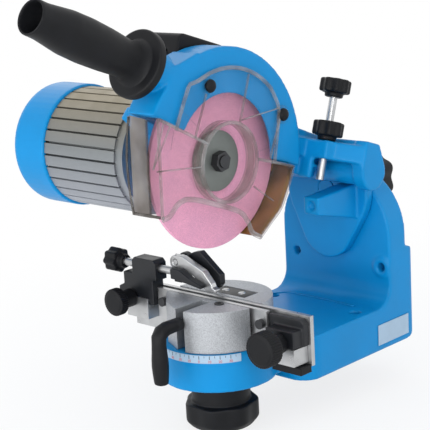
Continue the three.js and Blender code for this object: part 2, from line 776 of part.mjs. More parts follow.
function statorCore() {
  const outer = motor.bore - gap;
  return solid(tube('y', stator.inner, outer, stator.start, stator.end, sides.medium, wheelCentre));
}

function winding(start) {
  return solid(tube('y', stator.windingInner, stator.windingOuter, start, start + stator.windingLength,
    sides.small, wheelCentre));
}

function rotorCore() {
  return solid(tube('y', shaft.radius + gap, rotor.radius, stator.start - rotor.extra,
    stator.end + rotor.extra, sides.small, wheelCentre));
}

function ballBearing(start) {
  return solid(tube('y', shaft.radius + gap, bearing.radius, start, start + bearing.length - gap,
    sides.small, wheelCentre));
}

function coolingFan() {
  const end = fan.start + fan.length;
  const blades = Array.from({ length: bladeCount }, (_, i) => {
    const blade = slab([fan.hub - fan.blade, fan.radius], [fan.start, end], [-fan.blade / 2, fan.blade / 2]);
    return blade.rotateY(degrees(circle * i / bladeCount)).translate(wheelAt.x, 0, wheelAt.z);
  });
  return cut(
    join(
      disc('y', fan.hub, fan.start, end, sides.small, wheelCentre),
      disc('y', fan.radius, fan.start, fan.start + fan.disc, sides.medium, wheelCentre),
      ...blades,
    ),
    disc('y', shaft.radius + gap, fan.start - overrun, end + overrun, sides.small, wheelCentre),
  );
}

// Spindle

function motorShaft() {
  return solid(revolve('y', [
    [0, shaft.nose],
    [shaft.noseRadius, shaft.nose],
    [shaft.noseRadius, shaft.shoulder],
    [shaft.radius, shaft.shoulder],
    [shaft.radius, shaft.tail],
    [0, shaft.tail],
  ], sides.small, wheelCentre));
}

function innerFlange() {
  const bore = shaft.noseRadius + gap;
  const face = wheel.half + gap;
  return solid(revolve('y', [
    [bore, -wheel.half],
    [wheel.hole - gap, -wheel.half],
    [wheel.hole - gap, face],
    [flange.radius, face],
    [flange.radius, flange.innerRear],
    [bore, flange.innerRear],
  ], sides.medium, wheelCentre));
}

function grindingWheel() {
  return solid(tube('y', wheel.hole, wheel.radius, -wheel.half, wheel.half, sides.wheel, wheelCentre));
}

function outerFlange() {
  const bore = shaft.noseRadius + gap;
  return solid(tube('y', bore, flange.radius, flange.outerFront, -wheel.half - gap, sides.medium, wheelCentre));
}

function spindleNut() {
  const bore = shaft.noseRadius + gap;
  const end = flange.outerFront - gap;
  return cut(
    disc('y', nut.radius, nut.front, end, sides.tiny / 2, wheelCentre),
    disc('y', bore, nut.front - overrun, end + overrun, sides.tiny, wheelCentre),
  );
}

// Guard

function guardScrewPlaces() {
  return fromWheel(grown([[guard.screwLeftX, guard.screwLeftZ], [guard.screwRightX, guard.screwRightZ]]));
}

function guardOutline() {
  return fromWheel(grown([...guardLeft, ...guardLower, ...guardRight, ...guardLedge]));
}

// The line of the guard's upper ledge, from left to right.
function ledgeLine() {
  return grown([guardLeft[0], ...guardLedge.slice().reverse(), guardRight[guardRight.length - 1]]);
}

// The outline of a wall that follows a line of points and stands inward by the skin.
function wallOutline(line, inward) {
  const outer = grown(line);
  const inner = outer.map(([x, z]) => [x + inward, z]);
  return fromWheel([...outer, ...inner.reverse()]);
}

function wheelGuard() {
  const fanFront = housing.front - gap - guard.skin;
  const fanRear = housing.front - gap;
  const fanOutline = fromWheel(grown([
    ...fanLeft.slice().reverse(), [fanLeft[0][0], 0], [fanRight[1][0], 0], ...fanRight.slice().reverse(),
    ...arc(0, 0, guard.fanRadius, fanArc.from, fanArc.to, fanArc.steps),
  ]));
  const line = ledgeLine();
  const ledge = fromWheel([...line, ...line.map(([x, z]) => [x, z - guard.skin]).reverse()]);
  const ears = guardScrewPlaces().map((centre) => (
    disc('y', guard.lugRadius, fanFront, fanRear, sides.small, centre)));
  const holes = guardScrewPlaces().map((centre) => (
    disc('y', screw.radius + gap, guard.front - overrun, 0, sides.tiny, centre)));
  const ribs = ribTurns.map((turn) => {
    const rib = slab([guard.collarInner, guard.fanRadius * growth], [fanFront - guard.ribHeight, fanRear],
      [-guard.ribHalf, guard.ribHalf]);
    return keep(
      rib.rotateY(-degrees(turn)).translate(wheelAt.x, 0, wheelAt.z),
      prism('y', fanOutline, guard.front - guard.ribHeight, fanRear),
    );
  });
  const body = join(
    prism('y', guardOutline(), guard.front, guard.front + guard.skin),
    prism('y', wallOutline(guardLeft, guard.skin), guard.front, guard.rear),
    prism('y', wallOutline(guardRight, -guard.skin), guard.front, guard.rear),
    prism('y', ledge, guard.front, fanRear),
    prism('y', fanOutline, fanFront, fanRear),
    disc('y', guard.collarOuter, guard.front, guard.collarRear, sides.medium, wheelCentre),
    ...ears,
    ...ribs,
  );
  return cut(
    body,
    disc('y', guard.collarInner, guard.front - overrun, 0, sides.medium, wheelCentre),
    ...holes,
  );
}

function guardScrew(centre) {
  const headEnd = housing.front - gap - guard.skin - gap;
  const headStart = headEnd - screw.headLength;
  return cut(
    join(
      disc('y', screw.headRadius, headStart, headEnd, sides.small, centre),
      disc('y', screw.radius, headEnd, screw.tip, sides.tiny, centre),
    ),
    slab([centre[0] - screw.headRadius, centre[0] + screw.headRadius],
      [headStart - overrun, headStart + screw.slotDepth],
      [centre[1] - screw.slot / 2, centre[1] + screw.slot / 2]),
  );
}

// Depth stop

function depthRod() {
  return solid(disc('z', depth.rodRadius, depth.tip, depth.knobEnd - wall, sides.small, [depth.x, depth.y]));
}

function depthKnob() {
  const centre = [depth.x, depth.y];
  const rim = lobedOutline(depth.knobRadius, depth.lobe, gripLobes, arcSteps, centre);
  return cut(
    join(
      disc('z', depth.hubRadius, depth.knobStart, depth.knobEnd, sides.small, centre),
      prism('z', rim, depth.knobHub, depth.knobEnd),
    ),
    disc('z', depth.rodRadius + gap, depth.knobStart - overrun, depth.knobEnd - wall + gap, sides.small,
      centre),
  );
}

function depthLockKnob() {
  const centre = [depth.x, depth.y];
  const start = shelf.high + gap;
  const rim = lobedOutline(depth.knobRadius, depth.lobe, gripLobes, arcSteps, centre);
  return cut(
    join(
      disc('z', depth.hubRadius, start, depth.lockEnd, sides.small, centre),
      prism('z', rim, depth.lockHub, depth.lockEnd),
    ),
    disc('z', depth.rodRadius + gap, start - overrun, depth.lockEnd + overrun, sides.small, centre),
  );
}

// Vise

function viseDrum() {
  const reach = drumRadius + overrun;
  const below = drum.low - overrun;
  const above = drum.high + overrun;
  const facets = [
    ...drumFacets, [-drum.far, drumFacets[drumFacets.length - 1][1]], [-drum.far, drumFacets[0][1]],
  ];
  return cut(
    disc('z', drumRadius, drum.low, drum.high, sides.large),
    slab([drum.slotLeft, drum.slotRight], [-reach, reach], [drum.slotFloor, above]),
    slab([-reach, drum.leverEnd], [drum.leverFront, drum.leverRear], [below, above]),
    slab([drum.recessLeft, drum.recessRight], [drum.recessFront, drum.recessRear],
      [drum.high - drum.recessDepth, above]),
    prism('z', facets, below, above),
    disc('z', viseBolt.radius + gap, drum.low - overrun, viseBolt.high + gap, sides.small),
    disc('x', lever.shaftRadius + gap, -reach, drum.slotLeft + gap, sides.small, [lever.y, lever.z]),
    disc('z', drumScrew.radius + gap, drum.high - drumScrew.depth - gap, above, sides.small,
      [drumScrew.x, drumScrew.y]),
  );
}

function viseBoltBody() {
  return solid(disc('z', viseBolt.radius, viseBolt.low, viseBolt.high, sides.small));
}

function viseLockKnob() {
  const rim = lobedOutline(viseKnob.radius, viseKnob.lobe, knobLobes, arcSteps, [0, 0]);
  return cut(
    join(
      disc('z', viseKnob.hubRadius, viseKnob.top, viseKnob.hubTop, sides.medium),
      prism('z', rim, viseKnob.ridge, viseKnob.top),
      revolve('z', [
        [0, viseKnob.low],
        [viseKnob.lowRadius, viseKnob.low],
        [viseKnob.radius - viseKnob.lobe, viseKnob.ridge],
        [0, viseKnob.ridge],
      ], sides.medium),
    ),
    disc('z', viseBolt.radius + gap, viseBolt.low - gap, viseKnob.hubTop + overrun, sides.small),
  );
}

function railBores() {
  return [railBolt.leftY, railBolt.rightY].map((y) => (
    disc('x', railBolt.radius + gap, rail.movingX - overrun, railBolt.end + gap, sides.tiny, [y, railBolt.z])));
}

function clampSlot(y, z, out) {
  const half = grip.shaftRadius + gap;
  const ends = [y, y + out].sort((a, b) => a - b);
  const slotEnd = rail.fixedX + rail.thickness + overrun;
  return slab([0, slotEnd], [ends[0] - half, ends[1] + half], [z - half, z + half]);
}

function fixedRail() {
  const outline = [
    [-rail.half, rail.low],
    [-rail.step, rail.low],
    [-rail.step, rail.floor],
    [rail.step, rail.floor],
    [rail.step, rail.low],
    [rail.half, rail.low],
    [rail.half, rail.top],
    [-rail.half, rail.top],
  ];
  return cut(
    prism('x', outline, rail.fixedX, rail.fixedX + rail.thickness),
    ...railBores(),
    clampSlot(guide.knobY, guide.knobZ, -guide.travel),
    clampSlot(stop.knobY, stop.knobZ, stop.travel),
  );
}

function movingRail() {
  return cut(
    slab([rail.movingX, rail.movingX + rail.thickness], [-rail.movingHalf, rail.movingHalf],
      [rail.floor, rail.top]),
    ...railBores(),
  );
}

function railBoltBody(y) {
  const headEnd = rail.movingX - gap;
  return join(
    disc('x', railBolt.headRadius, headEnd - railBolt.head, headEnd, sides.tiny, [y, railBolt.z]),
    disc('x', railBolt.radius, headEnd, railBolt.end, sides.tiny, [y, railBolt.z]),
  );
}

function clampLever() {
  const stubStart = -drumRadius - gap;
  const elbow = new THREE.SphereGeometry(lever.elbow, sides.small, sides.tiny);
  elbow.translate(lever.stubEnd, lever.y, lever.z);
  const middle = (lever.low + lever.z) / 2;
  const arm = revolve('z', [
    [0, lever.low],
    [lever.gripLow, lever.low],
    [lever.gripMiddle, middle],
    [lever.gripTop, lever.z],
    [0, lever.z],
  ], sides.small, [lever.stubEnd, lever.y]);
  return join(
    disc('x', lever.shaftRadius, stubStart - gap, rail.movingX - gap, sides.small, [lever.y, lever.z]),
    disc('x', lever.stubRadius, lever.stubEnd, stubStart, sides.small, [lever.y, lever.z]),
    elbow,
    arm,
  );
}

function drumScrewBody() {
  const centre = [drumScrew.x, drumScrew.y];
  const top = drum.high + drumScrew.proud;
  return cut(
    disc('z', drumScrew.radius, drum.high - drumScrew.depth, top, sides.small, centre),
    disc('z', drumScrew.socket, top - drumScrew.socketDepth, top + overrun, sides.tiny / 2, centre),
  );
}

// Clamp knob of a guide or stop, with its shaft along X
function clampKnob(start, { knobRadius, knobLength, knobHub, knobY, knobZ }) {
  const hubEnd = start - knobHub;
  const centre = [knobY, knobZ];
  const rim = lobedOutline(knobRadius, grip.knurl, knurls, knurlSteps, centre);
  return join(
    disc('x', grip.hubRadius, hubEnd, start, sides.small, centre),
    prism('x', rim, hubEnd - knobLength, hubEnd),
    disc('x', grip.shaftRadius, start, clampNut.shaftEnd, sides.small, centre),
  );
}

function clampNutBody([y, z]) {
  const start = rail.fixedX + rail.thickness + gap;
  return cut(
    slab([start, start + clampNut.thickness], [y - clampNut.half, y + clampNut.half],
      [z - clampNut.half, z + clampNut.half]),
    disc('x', grip.shaftRadius + gap, 0, start + clampNut.thickness + overrun, sides.small, [y, z]),
  );
}

// Right chain guide

function guideBlock() {
  const back = [
    [guide.backOuter, guide.low],
    [guide.backInner, guide.low],
    [guide.backInner, guide.backHigh],
    [guide.backOuter + guide.bevel, guide.backHigh],
    [guide.backOuter, guide.backHigh - guide.bevel],
  ];
  return cut(
    join(
      slab([guide.left, guide.right], [guide.outer, guide.inner], [guide.low, guide.high]),
      prism('x', back, guide.backLeft, guide.right),
    ),
    disc('x', grip.shaftRadius + gap, guide.left - overrun, guide.right + overrun, sides.small,
      [guide.knobY, guide.knobZ]),
  );
}

function guideBracket() {
  const top = guide.low - gap;
  const wide = [guide.outer, guide.inner];
  const deep = [guide.left, guide.right];
  return join(
    slab(deep, wide, [top - guide.plate, top]),
    slab([guide.left, guide.left + guide.plate], wide, [guide.skirtLow, top]),
    slab(deep, [guide.outer, guide.outer + guide.plate], [guide.skirtLow, top]),
  );
}

function guidePad() {
  return solid(slab([guide.padLeft, guide.right], [guide.padOuter, guide.padInner],
    [guide.padLow, guide.padHigh]));
}

// Left chain stop

function stopBlock() {
  const far = Math.max(...stopOutline.map(([y]) => y)) + overrun;
  return cut(
    prism('x', stopOutline, stop.left, stop.right),
    disc('x', grip.shaftRadius + gap, stop.left - overrun, stop.right + overrun, sides.small,
      [stop.knobY, stop.knobZ]),
    disc('y', rod.radius + gap, 0, far, sides.small, [rod.x, rod.z]),
  );
}

function stopBracket() {
  const front = stop.left - gap;
  const left = front - stop.plate;
  const deep = [left, stop.right];
  const wide = [stop.plateInner, stop.plateOuter];
  return cut(
    join(
      slab([left, front], wide, [stop.plateLow, stop.plateHigh]),
      slab(deep, wide, [stop.plateLow, stop.plateLow + stop.plate]),
      slab(deep, [stop.plateInner, stop.plateInner + stop.plate], [stop.plateLow, stop.low - gap]),
    ),
    disc('x', grip.shaftRadius + gap, left - overrun, front + overrun, sides.small, [stop.knobY, stop.knobZ]),
  );
}

function stopRod() {
  const centre = [rod.x, rod.z];
  return join(
    disc('y', rod.radius, rod.shoulder, rod.end, sides.small, centre),
    disc('y', rod.studRadius, rod.start, rod.shoulder, sides.small, centre),
  );
}

function stopKnob() {
  const centre = [rod.x, rod.z];
  const rim = lobedOutline(rodKnob.radius, rodKnob.lobe, gripLobes, arcSteps, centre);
  return cut(
    join(
      disc('y', rodKnob.hubRadius, rodKnob.start, rodKnob.end, sides.small, centre),
      prism('y', rim, rodKnob.hubEnd, rodKnob.end),
    ),
    disc('y', rod.radius + gap, rodKnob.start - overrun, rod.end + gap, sides.small, centre),
  );
}

// The pawls' pin holds, from the front: silver pawl, plate of the arm, spacer and black pawl.
const plateX = silverX + pawl.thickness + gap;
const spacerX = plateX + lugPlate.thickness + gap;
const blackX = spacerX + spacerLength + gap;

function stopArm() {
  const plateEnd = plateX + lugPlate.thickness;
  return cut(
    join(
      prism('x', barOutline, bar.left, bar.right),
      slab([link.left, plateEnd], [link.inner, link.outer], [link.low, link.high]),
      slab([plateX, plateEnd], [link.inner, lugPlate.outer], [link.low, lugPlate.high]),
    ),
    disc('y', rod.studRadius + gap, rod.start - gap, rod.shoulder, sides.small, [rod.x, rod.z]),
    disc('x', pawl.pinRadius + gap, plateX - overrun, plateEnd + overrun, sides.tiny, [pawl.y, pawl.z]),
  );
}

function pawlPin() {
  const centre = [pawl.y, pawl.z];
  const head = blackX + pawl.thickness + gap;
  return join(
    disc('x', pawl.pinRadius, silverX, head, sides.tiny, centre),
    disc('x', pawl.headRadius, head, head + pawl.headLength, sides.tiny, centre),
  );
}

function pawlSpacer() {
  return solid(tube('x', pawl.pinRadius + gap, pawl.headRadius, spacerX, spacerX + spacerLength,
    sides.tiny, [pawl.y, pawl.z]));
}

function chainPawl(outline, start) {
  const end = start + pawl.thickness;
  const centre = [pawl.y, pawl.z];
  return cut(
    join(prism('x', outline, start, end), disc('x', pawl.bossRadius, start, end, sides.small, centre)),
    disc('x', pawl.pinRadius + gap, start - overrun, end + overrun, sides.tiny, centre),
  );
}

// Scene graph

function material([color, roughness, metalness, opacity]) {
  return new THREE.MeshStandardMaterial({ color, roughness, metalness, opacity, transparent: opacity < 1 });
}

function place(group, name, body, finish) {
  const source = body.getMesh();
  const geometry = new THREE.BufferGeometry();
  geometry.setAttribute('position', new THREE.BufferAttribute(source.vertProperties, 3));
  geometry.setIndex(new THREE.BufferAttribute(source.triVerts, 1));
  const flat = geometry.toNonIndexed();
  flat.computeVertexNormals();
  const mesh = new THREE.Mesh(flat, material(finish));
  mesh.name = name;
  group.add(mesh);
}

function buildBase(group) {
  place(group, 'base_casting', baseCasting(), finishes.bluePaint);
  place(group, 'angle_scale', angleScale(), finishes.labelWhite);
  place(group, 'label_plate', labelPlate(), finishes.labelWhite);
  place(group, 'tilt_bolt', tiltBolt(), finishes.darkSteel);
  place(group, 'tilt_lock_knob', tiltLockKnob(), finishes.blackPlastic);
  place(group, 'tilt_bracket', tiltBracket(), finishes.bluePaint);
  place(group, 'head_hinge_pin', headHingePin(), finishes.steel);
  place(group, 'return_spring', returnSpring(), finishes.steel);
}

function buildHead(group) {
  const [leftScrew, rightScrew] = guardScrewPlaces();
  place(group, 'head_casting', headCasting(), finishes.bluePaint);
  place(group, 'handle_grip', handleGrip(), finishes.blackPlastic);
  place(group, 'handle_stud', handleStud(), finishes.steel);
  place(group, 'switch_box', switchBox(), finishes.blackPlastic);
  place(group, 'switch_rocker', switchRocker(), finishes.blackPlastic);
  place(group, 'cable_gland', cableGland(), finishes.blackPlastic);
  place(group, 'wheel_guard', wheelGuard(), finishes.clearPlastic);
  place(group, 'guard_screw_left', guardScrew(leftScrew), finishes.blackPlastic);
  place(group, 'guard_screw_right', guardScrew(rightScrew), finishes.blackPlastic);
  place(group, 'depth_rod', depthRod(), finishes.steel);
  place(group, 'depth_knob', depthKnob(), finishes.blackPlastic);
  place(group, 'depth_lock_knob', depthLockKnob(), finishes.blackPlastic);
}

function buildMotor(group) {
  const rearSeat = motor.end - gap - bearing.length;
  place(group, 'motor_shell', motorShell(), finishes.castAluminium);
  place(group, 'motor_end_cap', motorEndCap(), finishes.bluePaint);
  place(group, 'rear_end_shield', rearEndShield(), finishes.castAluminium);
  place(group, 'stator_core', statorCore(), finishes.laminate);
  place(group, 'front_winding', winding(stator.start - gap - stator.windingLength), finishes.copper);
  place(group, 'rear_winding', winding(stator.end + gap), finishes.copper);
  place(group, 'rotor_core', rotorCore(), finishes.laminate);
  place(group, 'motor_shaft', motorShaft(), finishes.steel);
  place(group, 'front_bearing', ballBearing(motor.start + gap), finishes.steel);
  place(group, 'rear_bearing', ballBearing(rearSeat), finishes.steel);
  place(group, 'cooling_fan', coolingFan(), finishes.blackPlastic);
  place(group, 'inner_flange', innerFlange(), finishes.steel);
  place(group, 'grinding_wheel', grindingWheel(), finishes.pinkAbrasive);
  place(group, 'outer_flange', outerFlange(), finishes.steel);
  place(group, 'spindle_nut', spindleNut(), finishes.darkSteel);
}

function buildVise(group) {
  place(group, 'vise_drum', viseDrum(), finishes.castAluminium);
  place(group, 'vise_bolt', viseBoltBody(), finishes.steel);
  place(group, 'vise_lock_knob', viseLockKnob(), finishes.blackPlastic);
  place(group, 'fixed_rail', fixedRail(), finishes.steel);
  place(group, 'moving_rail', movingRail(), finishes.steel);
  place(group, 'rail_bolt_left', railBoltBody(railBolt.leftY), finishes.darkSteel);
  place(group, 'rail_bolt_right', railBoltBody(railBolt.rightY), finishes.darkSteel);
  place(group, 'clamp_lever', clampLever(), finishes.blackPlastic);
  place(group, 'drum_screw', drumScrewBody(), finishes.darkSteel);
}

function buildGuide(group) {
  place(group, 'guide_block', guideBlock(), finishes.blackPaint);
  place(group, 'guide_bracket', guideBracket(), finishes.steel);
  place(group, 'guide_pad', guidePad(), finishes.blackPlastic);
  place(group, 'guide_knob', clampKnob(guide.left - gap, guide), finishes.blackPlastic);
  place(group, 'guide_nut', clampNutBody([guide.knobY, guide.knobZ]), finishes.steel);
}

function buildStop(group) {
  const knobStart = stop.left - gap - stop.plate - gap;
  place(group, 'stop_block', stopBlock(), finishes.blackPaint);
  place(group, 'stop_bracket', stopBracket(), finishes.steel);
  place(group, 'stop_lock_knob', clampKnob(knobStart, stop), finishes.blackPlastic);
  place(group, 'stop_nut', clampNutBody([stop.knobY, stop.knobZ]), finishes.steel);
  place(group, 'stop_rod', stopRod(), finishes.steel);
  place(group, 'stop_knob', stopKnob(), finishes.blackPlastic);
  place(group, 'stop_arm', stopArm(), finishes.blackPaint);
  place(group, 'pawl_pin', pawlPin(), finishes.steel);
  place(group, 'pawl_spacer', pawlSpacer(), finishes.steel);
  place(group, 'chain_pawl_silver', chainPawl(silverOutline, silverX), finishes.steel);
  place(group, 'chain_pawl_black', chainPawl(blackOutline, blackX), finishes.blackPaint);
}

const sharpener = new THREE.Group();
sharpener.name = 'chain_sharpener';
buildBase(sharpener);

const head = new THREE.Group();
head.name = 'head';
head.position.set(hinge.x, 0, hinge.z);
head.rotation.y = degrees(raise);
buildHead(head);
buildMotor(head);
sharpener.add(head);

const vise = new THREE.Group();
vise.name = 'vise';
vise.position.x = seat.x;
buildVise(vise);
buildGuide(vise);
buildStop(vise);
sharpener.add(vise);

export default sharpener;
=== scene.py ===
import math

import bmesh
import bpy
from mathutils import Matrix, Vector
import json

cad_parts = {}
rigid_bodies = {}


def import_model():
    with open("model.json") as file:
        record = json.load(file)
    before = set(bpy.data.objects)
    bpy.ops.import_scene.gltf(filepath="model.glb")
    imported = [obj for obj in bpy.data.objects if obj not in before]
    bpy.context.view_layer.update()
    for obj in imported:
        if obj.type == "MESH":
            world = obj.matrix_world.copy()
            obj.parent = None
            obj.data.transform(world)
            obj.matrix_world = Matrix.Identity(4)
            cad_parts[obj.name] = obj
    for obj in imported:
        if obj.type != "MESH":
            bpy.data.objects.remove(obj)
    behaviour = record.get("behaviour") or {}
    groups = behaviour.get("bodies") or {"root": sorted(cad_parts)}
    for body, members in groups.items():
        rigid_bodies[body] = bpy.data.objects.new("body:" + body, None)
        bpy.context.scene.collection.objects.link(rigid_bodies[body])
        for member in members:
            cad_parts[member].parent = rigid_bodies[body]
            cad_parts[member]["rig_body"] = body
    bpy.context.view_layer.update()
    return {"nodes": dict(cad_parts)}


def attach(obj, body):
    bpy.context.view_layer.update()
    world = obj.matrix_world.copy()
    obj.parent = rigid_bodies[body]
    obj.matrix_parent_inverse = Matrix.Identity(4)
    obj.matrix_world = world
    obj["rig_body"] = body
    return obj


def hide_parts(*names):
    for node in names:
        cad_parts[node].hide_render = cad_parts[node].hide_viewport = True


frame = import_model()
MM = 0.001


# Places: the hinge, the wheel's centre in the head's frame and the vise's axis
HINGE = (0.026, 0, 0.162)
HEAD_RISE = 18.6
WHEEL_X, WHEEL_Z = -140.4, -15.6
VISE_X = -117
HEAD = Matrix.Translation(HINGE) @ Matrix.Rotation(math.radians(HEAD_RISE), 4, "Y")
VISE = Matrix.Translation((VISE_X * MM, 0, 0))
LEVEL = Matrix.Identity(4)
ALONG_X = Matrix(((0, 0, 1, 0), (1, 0, 0, 0), (0, 1, 0, 0), (0, 0, 0, 1)))
ALONG_Y = Matrix(((1, 0, 0, 0), (0, 0, 1, 0), (0, -1, 0, 0), (0, 0, 0, 1)))
FRONT = Vector((0, -1, 0))
UP = Vector((0, 0, 1))


def at(x, y, z):
    return Matrix.Translation((x * MM, y * MM, z * MM))


def from_wheel(x, z):
    """A place in the wheel's plane, measured from its centre."""
    return HEAD @ at(WHEEL_X + x, 0, WHEEL_Z + z)


def new_object(name, data):
    obj = bpy.data.objects.new(name, data)
    bpy.context.scene.collection.objects.link(obj)
    return obj


# Camera
CAMERA_PLACE = (-0.9003, -0.7591, 0.4049)
CAMERA_YAW = -46.07
CAMERA_PITCH = 13.31
CAMERA_ROLL = -3.21
CAMERA_REACH = 20
FOCAL_PIXELS = 1367.3
PICTURE_PIXELS = 430
SENSOR = 36.0


def add_camera():
    yaw, pitch, roll = (math.radians(a) for a in (CAMERA_YAW, CAMERA_PITCH, CAMERA_ROLL))
    back = Vector((math.sin(yaw) * math.cos(pitch), -math.cos(yaw) * math.cos(pitch),
                   math.sin(pitch)))
    level = Vector((math.cos(yaw), math.sin(yaw), 0))
    rise = back.cross(level)
    right = math.cos(roll) * level + math.sin(roll) * rise
    up = math.cos(roll) * rise - math.sin(roll) * level
    data = bpy.data.cameras.new("camera")
    data.sensor_width = SENSOR
    data.lens = FOCAL_PIXELS / PICTURE_PIXELS * SENSOR
    data.clip_end = CAMERA_REACH
    obj = new_object("camera", data)
    turn = Matrix((right, up, back)).transposed().to_4x4()
    obj.matrix_world = Matrix.Translation(CAMERA_PLACE) @ turn
    bpy.context.scene.camera = obj


# Lamps: place, point aimed at, diameter and power
MIDDLE = (-0.08, 0.03, 0.15)
LAMPS = {
    "key": ((-0.9, -1.3, 1.7), MIDDLE, 1.1, 2.5),
    "fill": ((-1.3, 0.3, 0.14), (0.05, 0, 0.12), 0.8, 5),
    "side": ((1.0, -1.2, 0.7), MIDDLE, 1.2, 1.5),
    "top": ((0.0, 0.3, 1.9), MIDDLE, 1.5, 3.5),
    "front": ((-1.3, -0.45, 0.2), (0.05, 0, 0.14), 0.6, 4),
    "near": ((-0.85, -1.1, 0.45), MIDDLE, 0.5, 3.5),
    "rear": ((0.5, 1.6, 1.0), MIDDLE, 1.5, 5),
}


def add_lights():
    for name, (place, aim, size, power) in LAMPS.items():
        data = bpy.data.lights.new(name, "AREA")
        data.shape = "DISK"
        data.size = size
        data.energy = power
        obj = new_object(name, data)
        obj.location = place
        way = Vector(aim) - Vector(place)
        obj.rotation_euler = way.to_track_quat("-Z", "Y").to_euler()


# Small groups of shader nodes
def math_node(tree, operation, first, second, clamp=False):
    node = tree.nodes.new("ShaderNodeMath")
    node.operation = operation
    node.use_clamp = clamp
    tree.links.new(first, node.inputs[0])
    tree.links.new(second, node.inputs[1])
    return node.outputs[0]


def map_range(tree, value, source, target=(0, 1)):
    """Carries a value from one range of numbers to another."""
    node = tree.nodes.new("ShaderNodeMapRange")
    sockets = ("From Min", "From Max", "To Min", "To Max")
    for socket, number in zip(sockets, (*source, *target)):
        node.inputs[socket].default_value = number
    tree.links.new(value, node.inputs["Value"])
    return node.outputs[0]


def mix_shaders(tree, share, first, second, out):
    node = tree.nodes.new("ShaderNodeMixShader")
    tree.links.new(share, node.inputs[0])
    tree.links.new(first, node.inputs[1])
    tree.links.new(second, node.inputs[2])
    tree.links.new(node.outputs[0], out.inputs["Surface"])


def seen_ray(tree):
    """1 for rays from the camera, from metal and through clear pieces."""
    path = tree.nodes.new("ShaderNodeLightPath")
    total = path.outputs["Is Camera Ray"]
    for other in ("Is Glossy Ray", "Is Transmission Ray"):
        total = math_node(tree, "ADD", total, path.outputs[other], True)
    return total


# World: white where it is seen, a soft cool light elsewhere
WHITE = (1, 1, 1, 1)
SOFT_COLOUR = (0.86, 0.9, 0.95, 1)
SOFT_STRENGTH = 0.85


def add_world():
    world = bpy.data.worlds.new("studio")
    world.use_nodes = True
    tree = world.node_tree
    tree.nodes.clear()
    out = tree.nodes.new("ShaderNodeOutputWorld")
    soft = tree.nodes.new("ShaderNodeBackground")
    soft.inputs["Color"].default_value = SOFT_COLOUR
    soft.inputs["Strength"].default_value = SOFT_STRENGTH
    seen = tree.nodes.new("ShaderNodeBackground")
    seen.inputs["Color"].default_value = WHITE
    seen.inputs["Strength"].default_value = 1.0
    mix_shaders(tree, seen_ray(tree), soft.outputs[0], seen.outputs[0], out)
    bpy.context.scene.world = world
    bpy.context.scene.view_settings.view_transform = "Standard"


# Floor: its white share grows from near the machine to far from it
FLOOR_LEVEL = -0.0345
FLOOR_HALF = 3.0
FLOOR_GREY = (0.9, 0.9, 0.9, 1)
FLOOR_REACH = (0.25, 0.6)
WHITE_SHARE = (0.78, 1.0)


def add_floor():
    mesh = bpy.data.meshes.new("floor")
    h = FLOOR_HALF
    corners = [(x, y, FLOOR_LEVEL) for x, y in ((-h, -h), (h, -h), (h, h), (-h, h))]
    mesh.from_pydata(corners, [], [(0, 1, 2, 3)])
    obj = new_object("floor", mesh)
    mat = bpy.data.materials.new("floor_white")
    mat.use_nodes = True
    tree = mat.node_tree
    tree.nodes.clear()
    out = tree.nodes.new("ShaderNodeOutputMaterial")
    diffuse = tree.nodes.new("ShaderNodeBsdfDiffuse")
    diffuse.inputs["Color"].default_value = FLOOR_GREY
    glow = tree.nodes.new("ShaderNodeEmission")
    glow.inputs["Color"].default_value = WHITE
    glow.inputs["Strength"].default_value = 1.0
    coords = tree.nodes.new("ShaderNodeTexCoord")
    away = tree.nodes.new("ShaderNodeVectorMath")
    away.operation = "LENGTH"
    tree.links.new(coords.outputs["Object"], away.inputs[0])
    share = map_range(tree, away.outputs["Value"], FLOOR_REACH, WHITE_SHARE)
    share = math_node(tree, "MULTIPLY", seen_ray(tree), share)
    mix_shaders(tree, share, diffuse.outputs[0], glow.outputs[0], out)
    mesh.materials.append(mat)


# Materials
NOISE_RANGE = (0.3, 0.7)


def linear(r, g, b):
    """A colour given in steps of 255, as linear light."""
    def one(c):
        c /= 255
        return c / 12.92 if c <= 0.04045 else ((c + 0.055) / 1.055) ** 2.4
    return one(r), one(g), one(b)


def tinted(colour, factor):
    return tuple(min(1, c * factor) for c in colour) + (1,)


def shades(colour, dark, light, start=0.3):
    """Two stops for a ramp, as far from its middle on either side."""
    return [(start, tinted(colour, dark)), (1 - start, tinted(colour, light))]


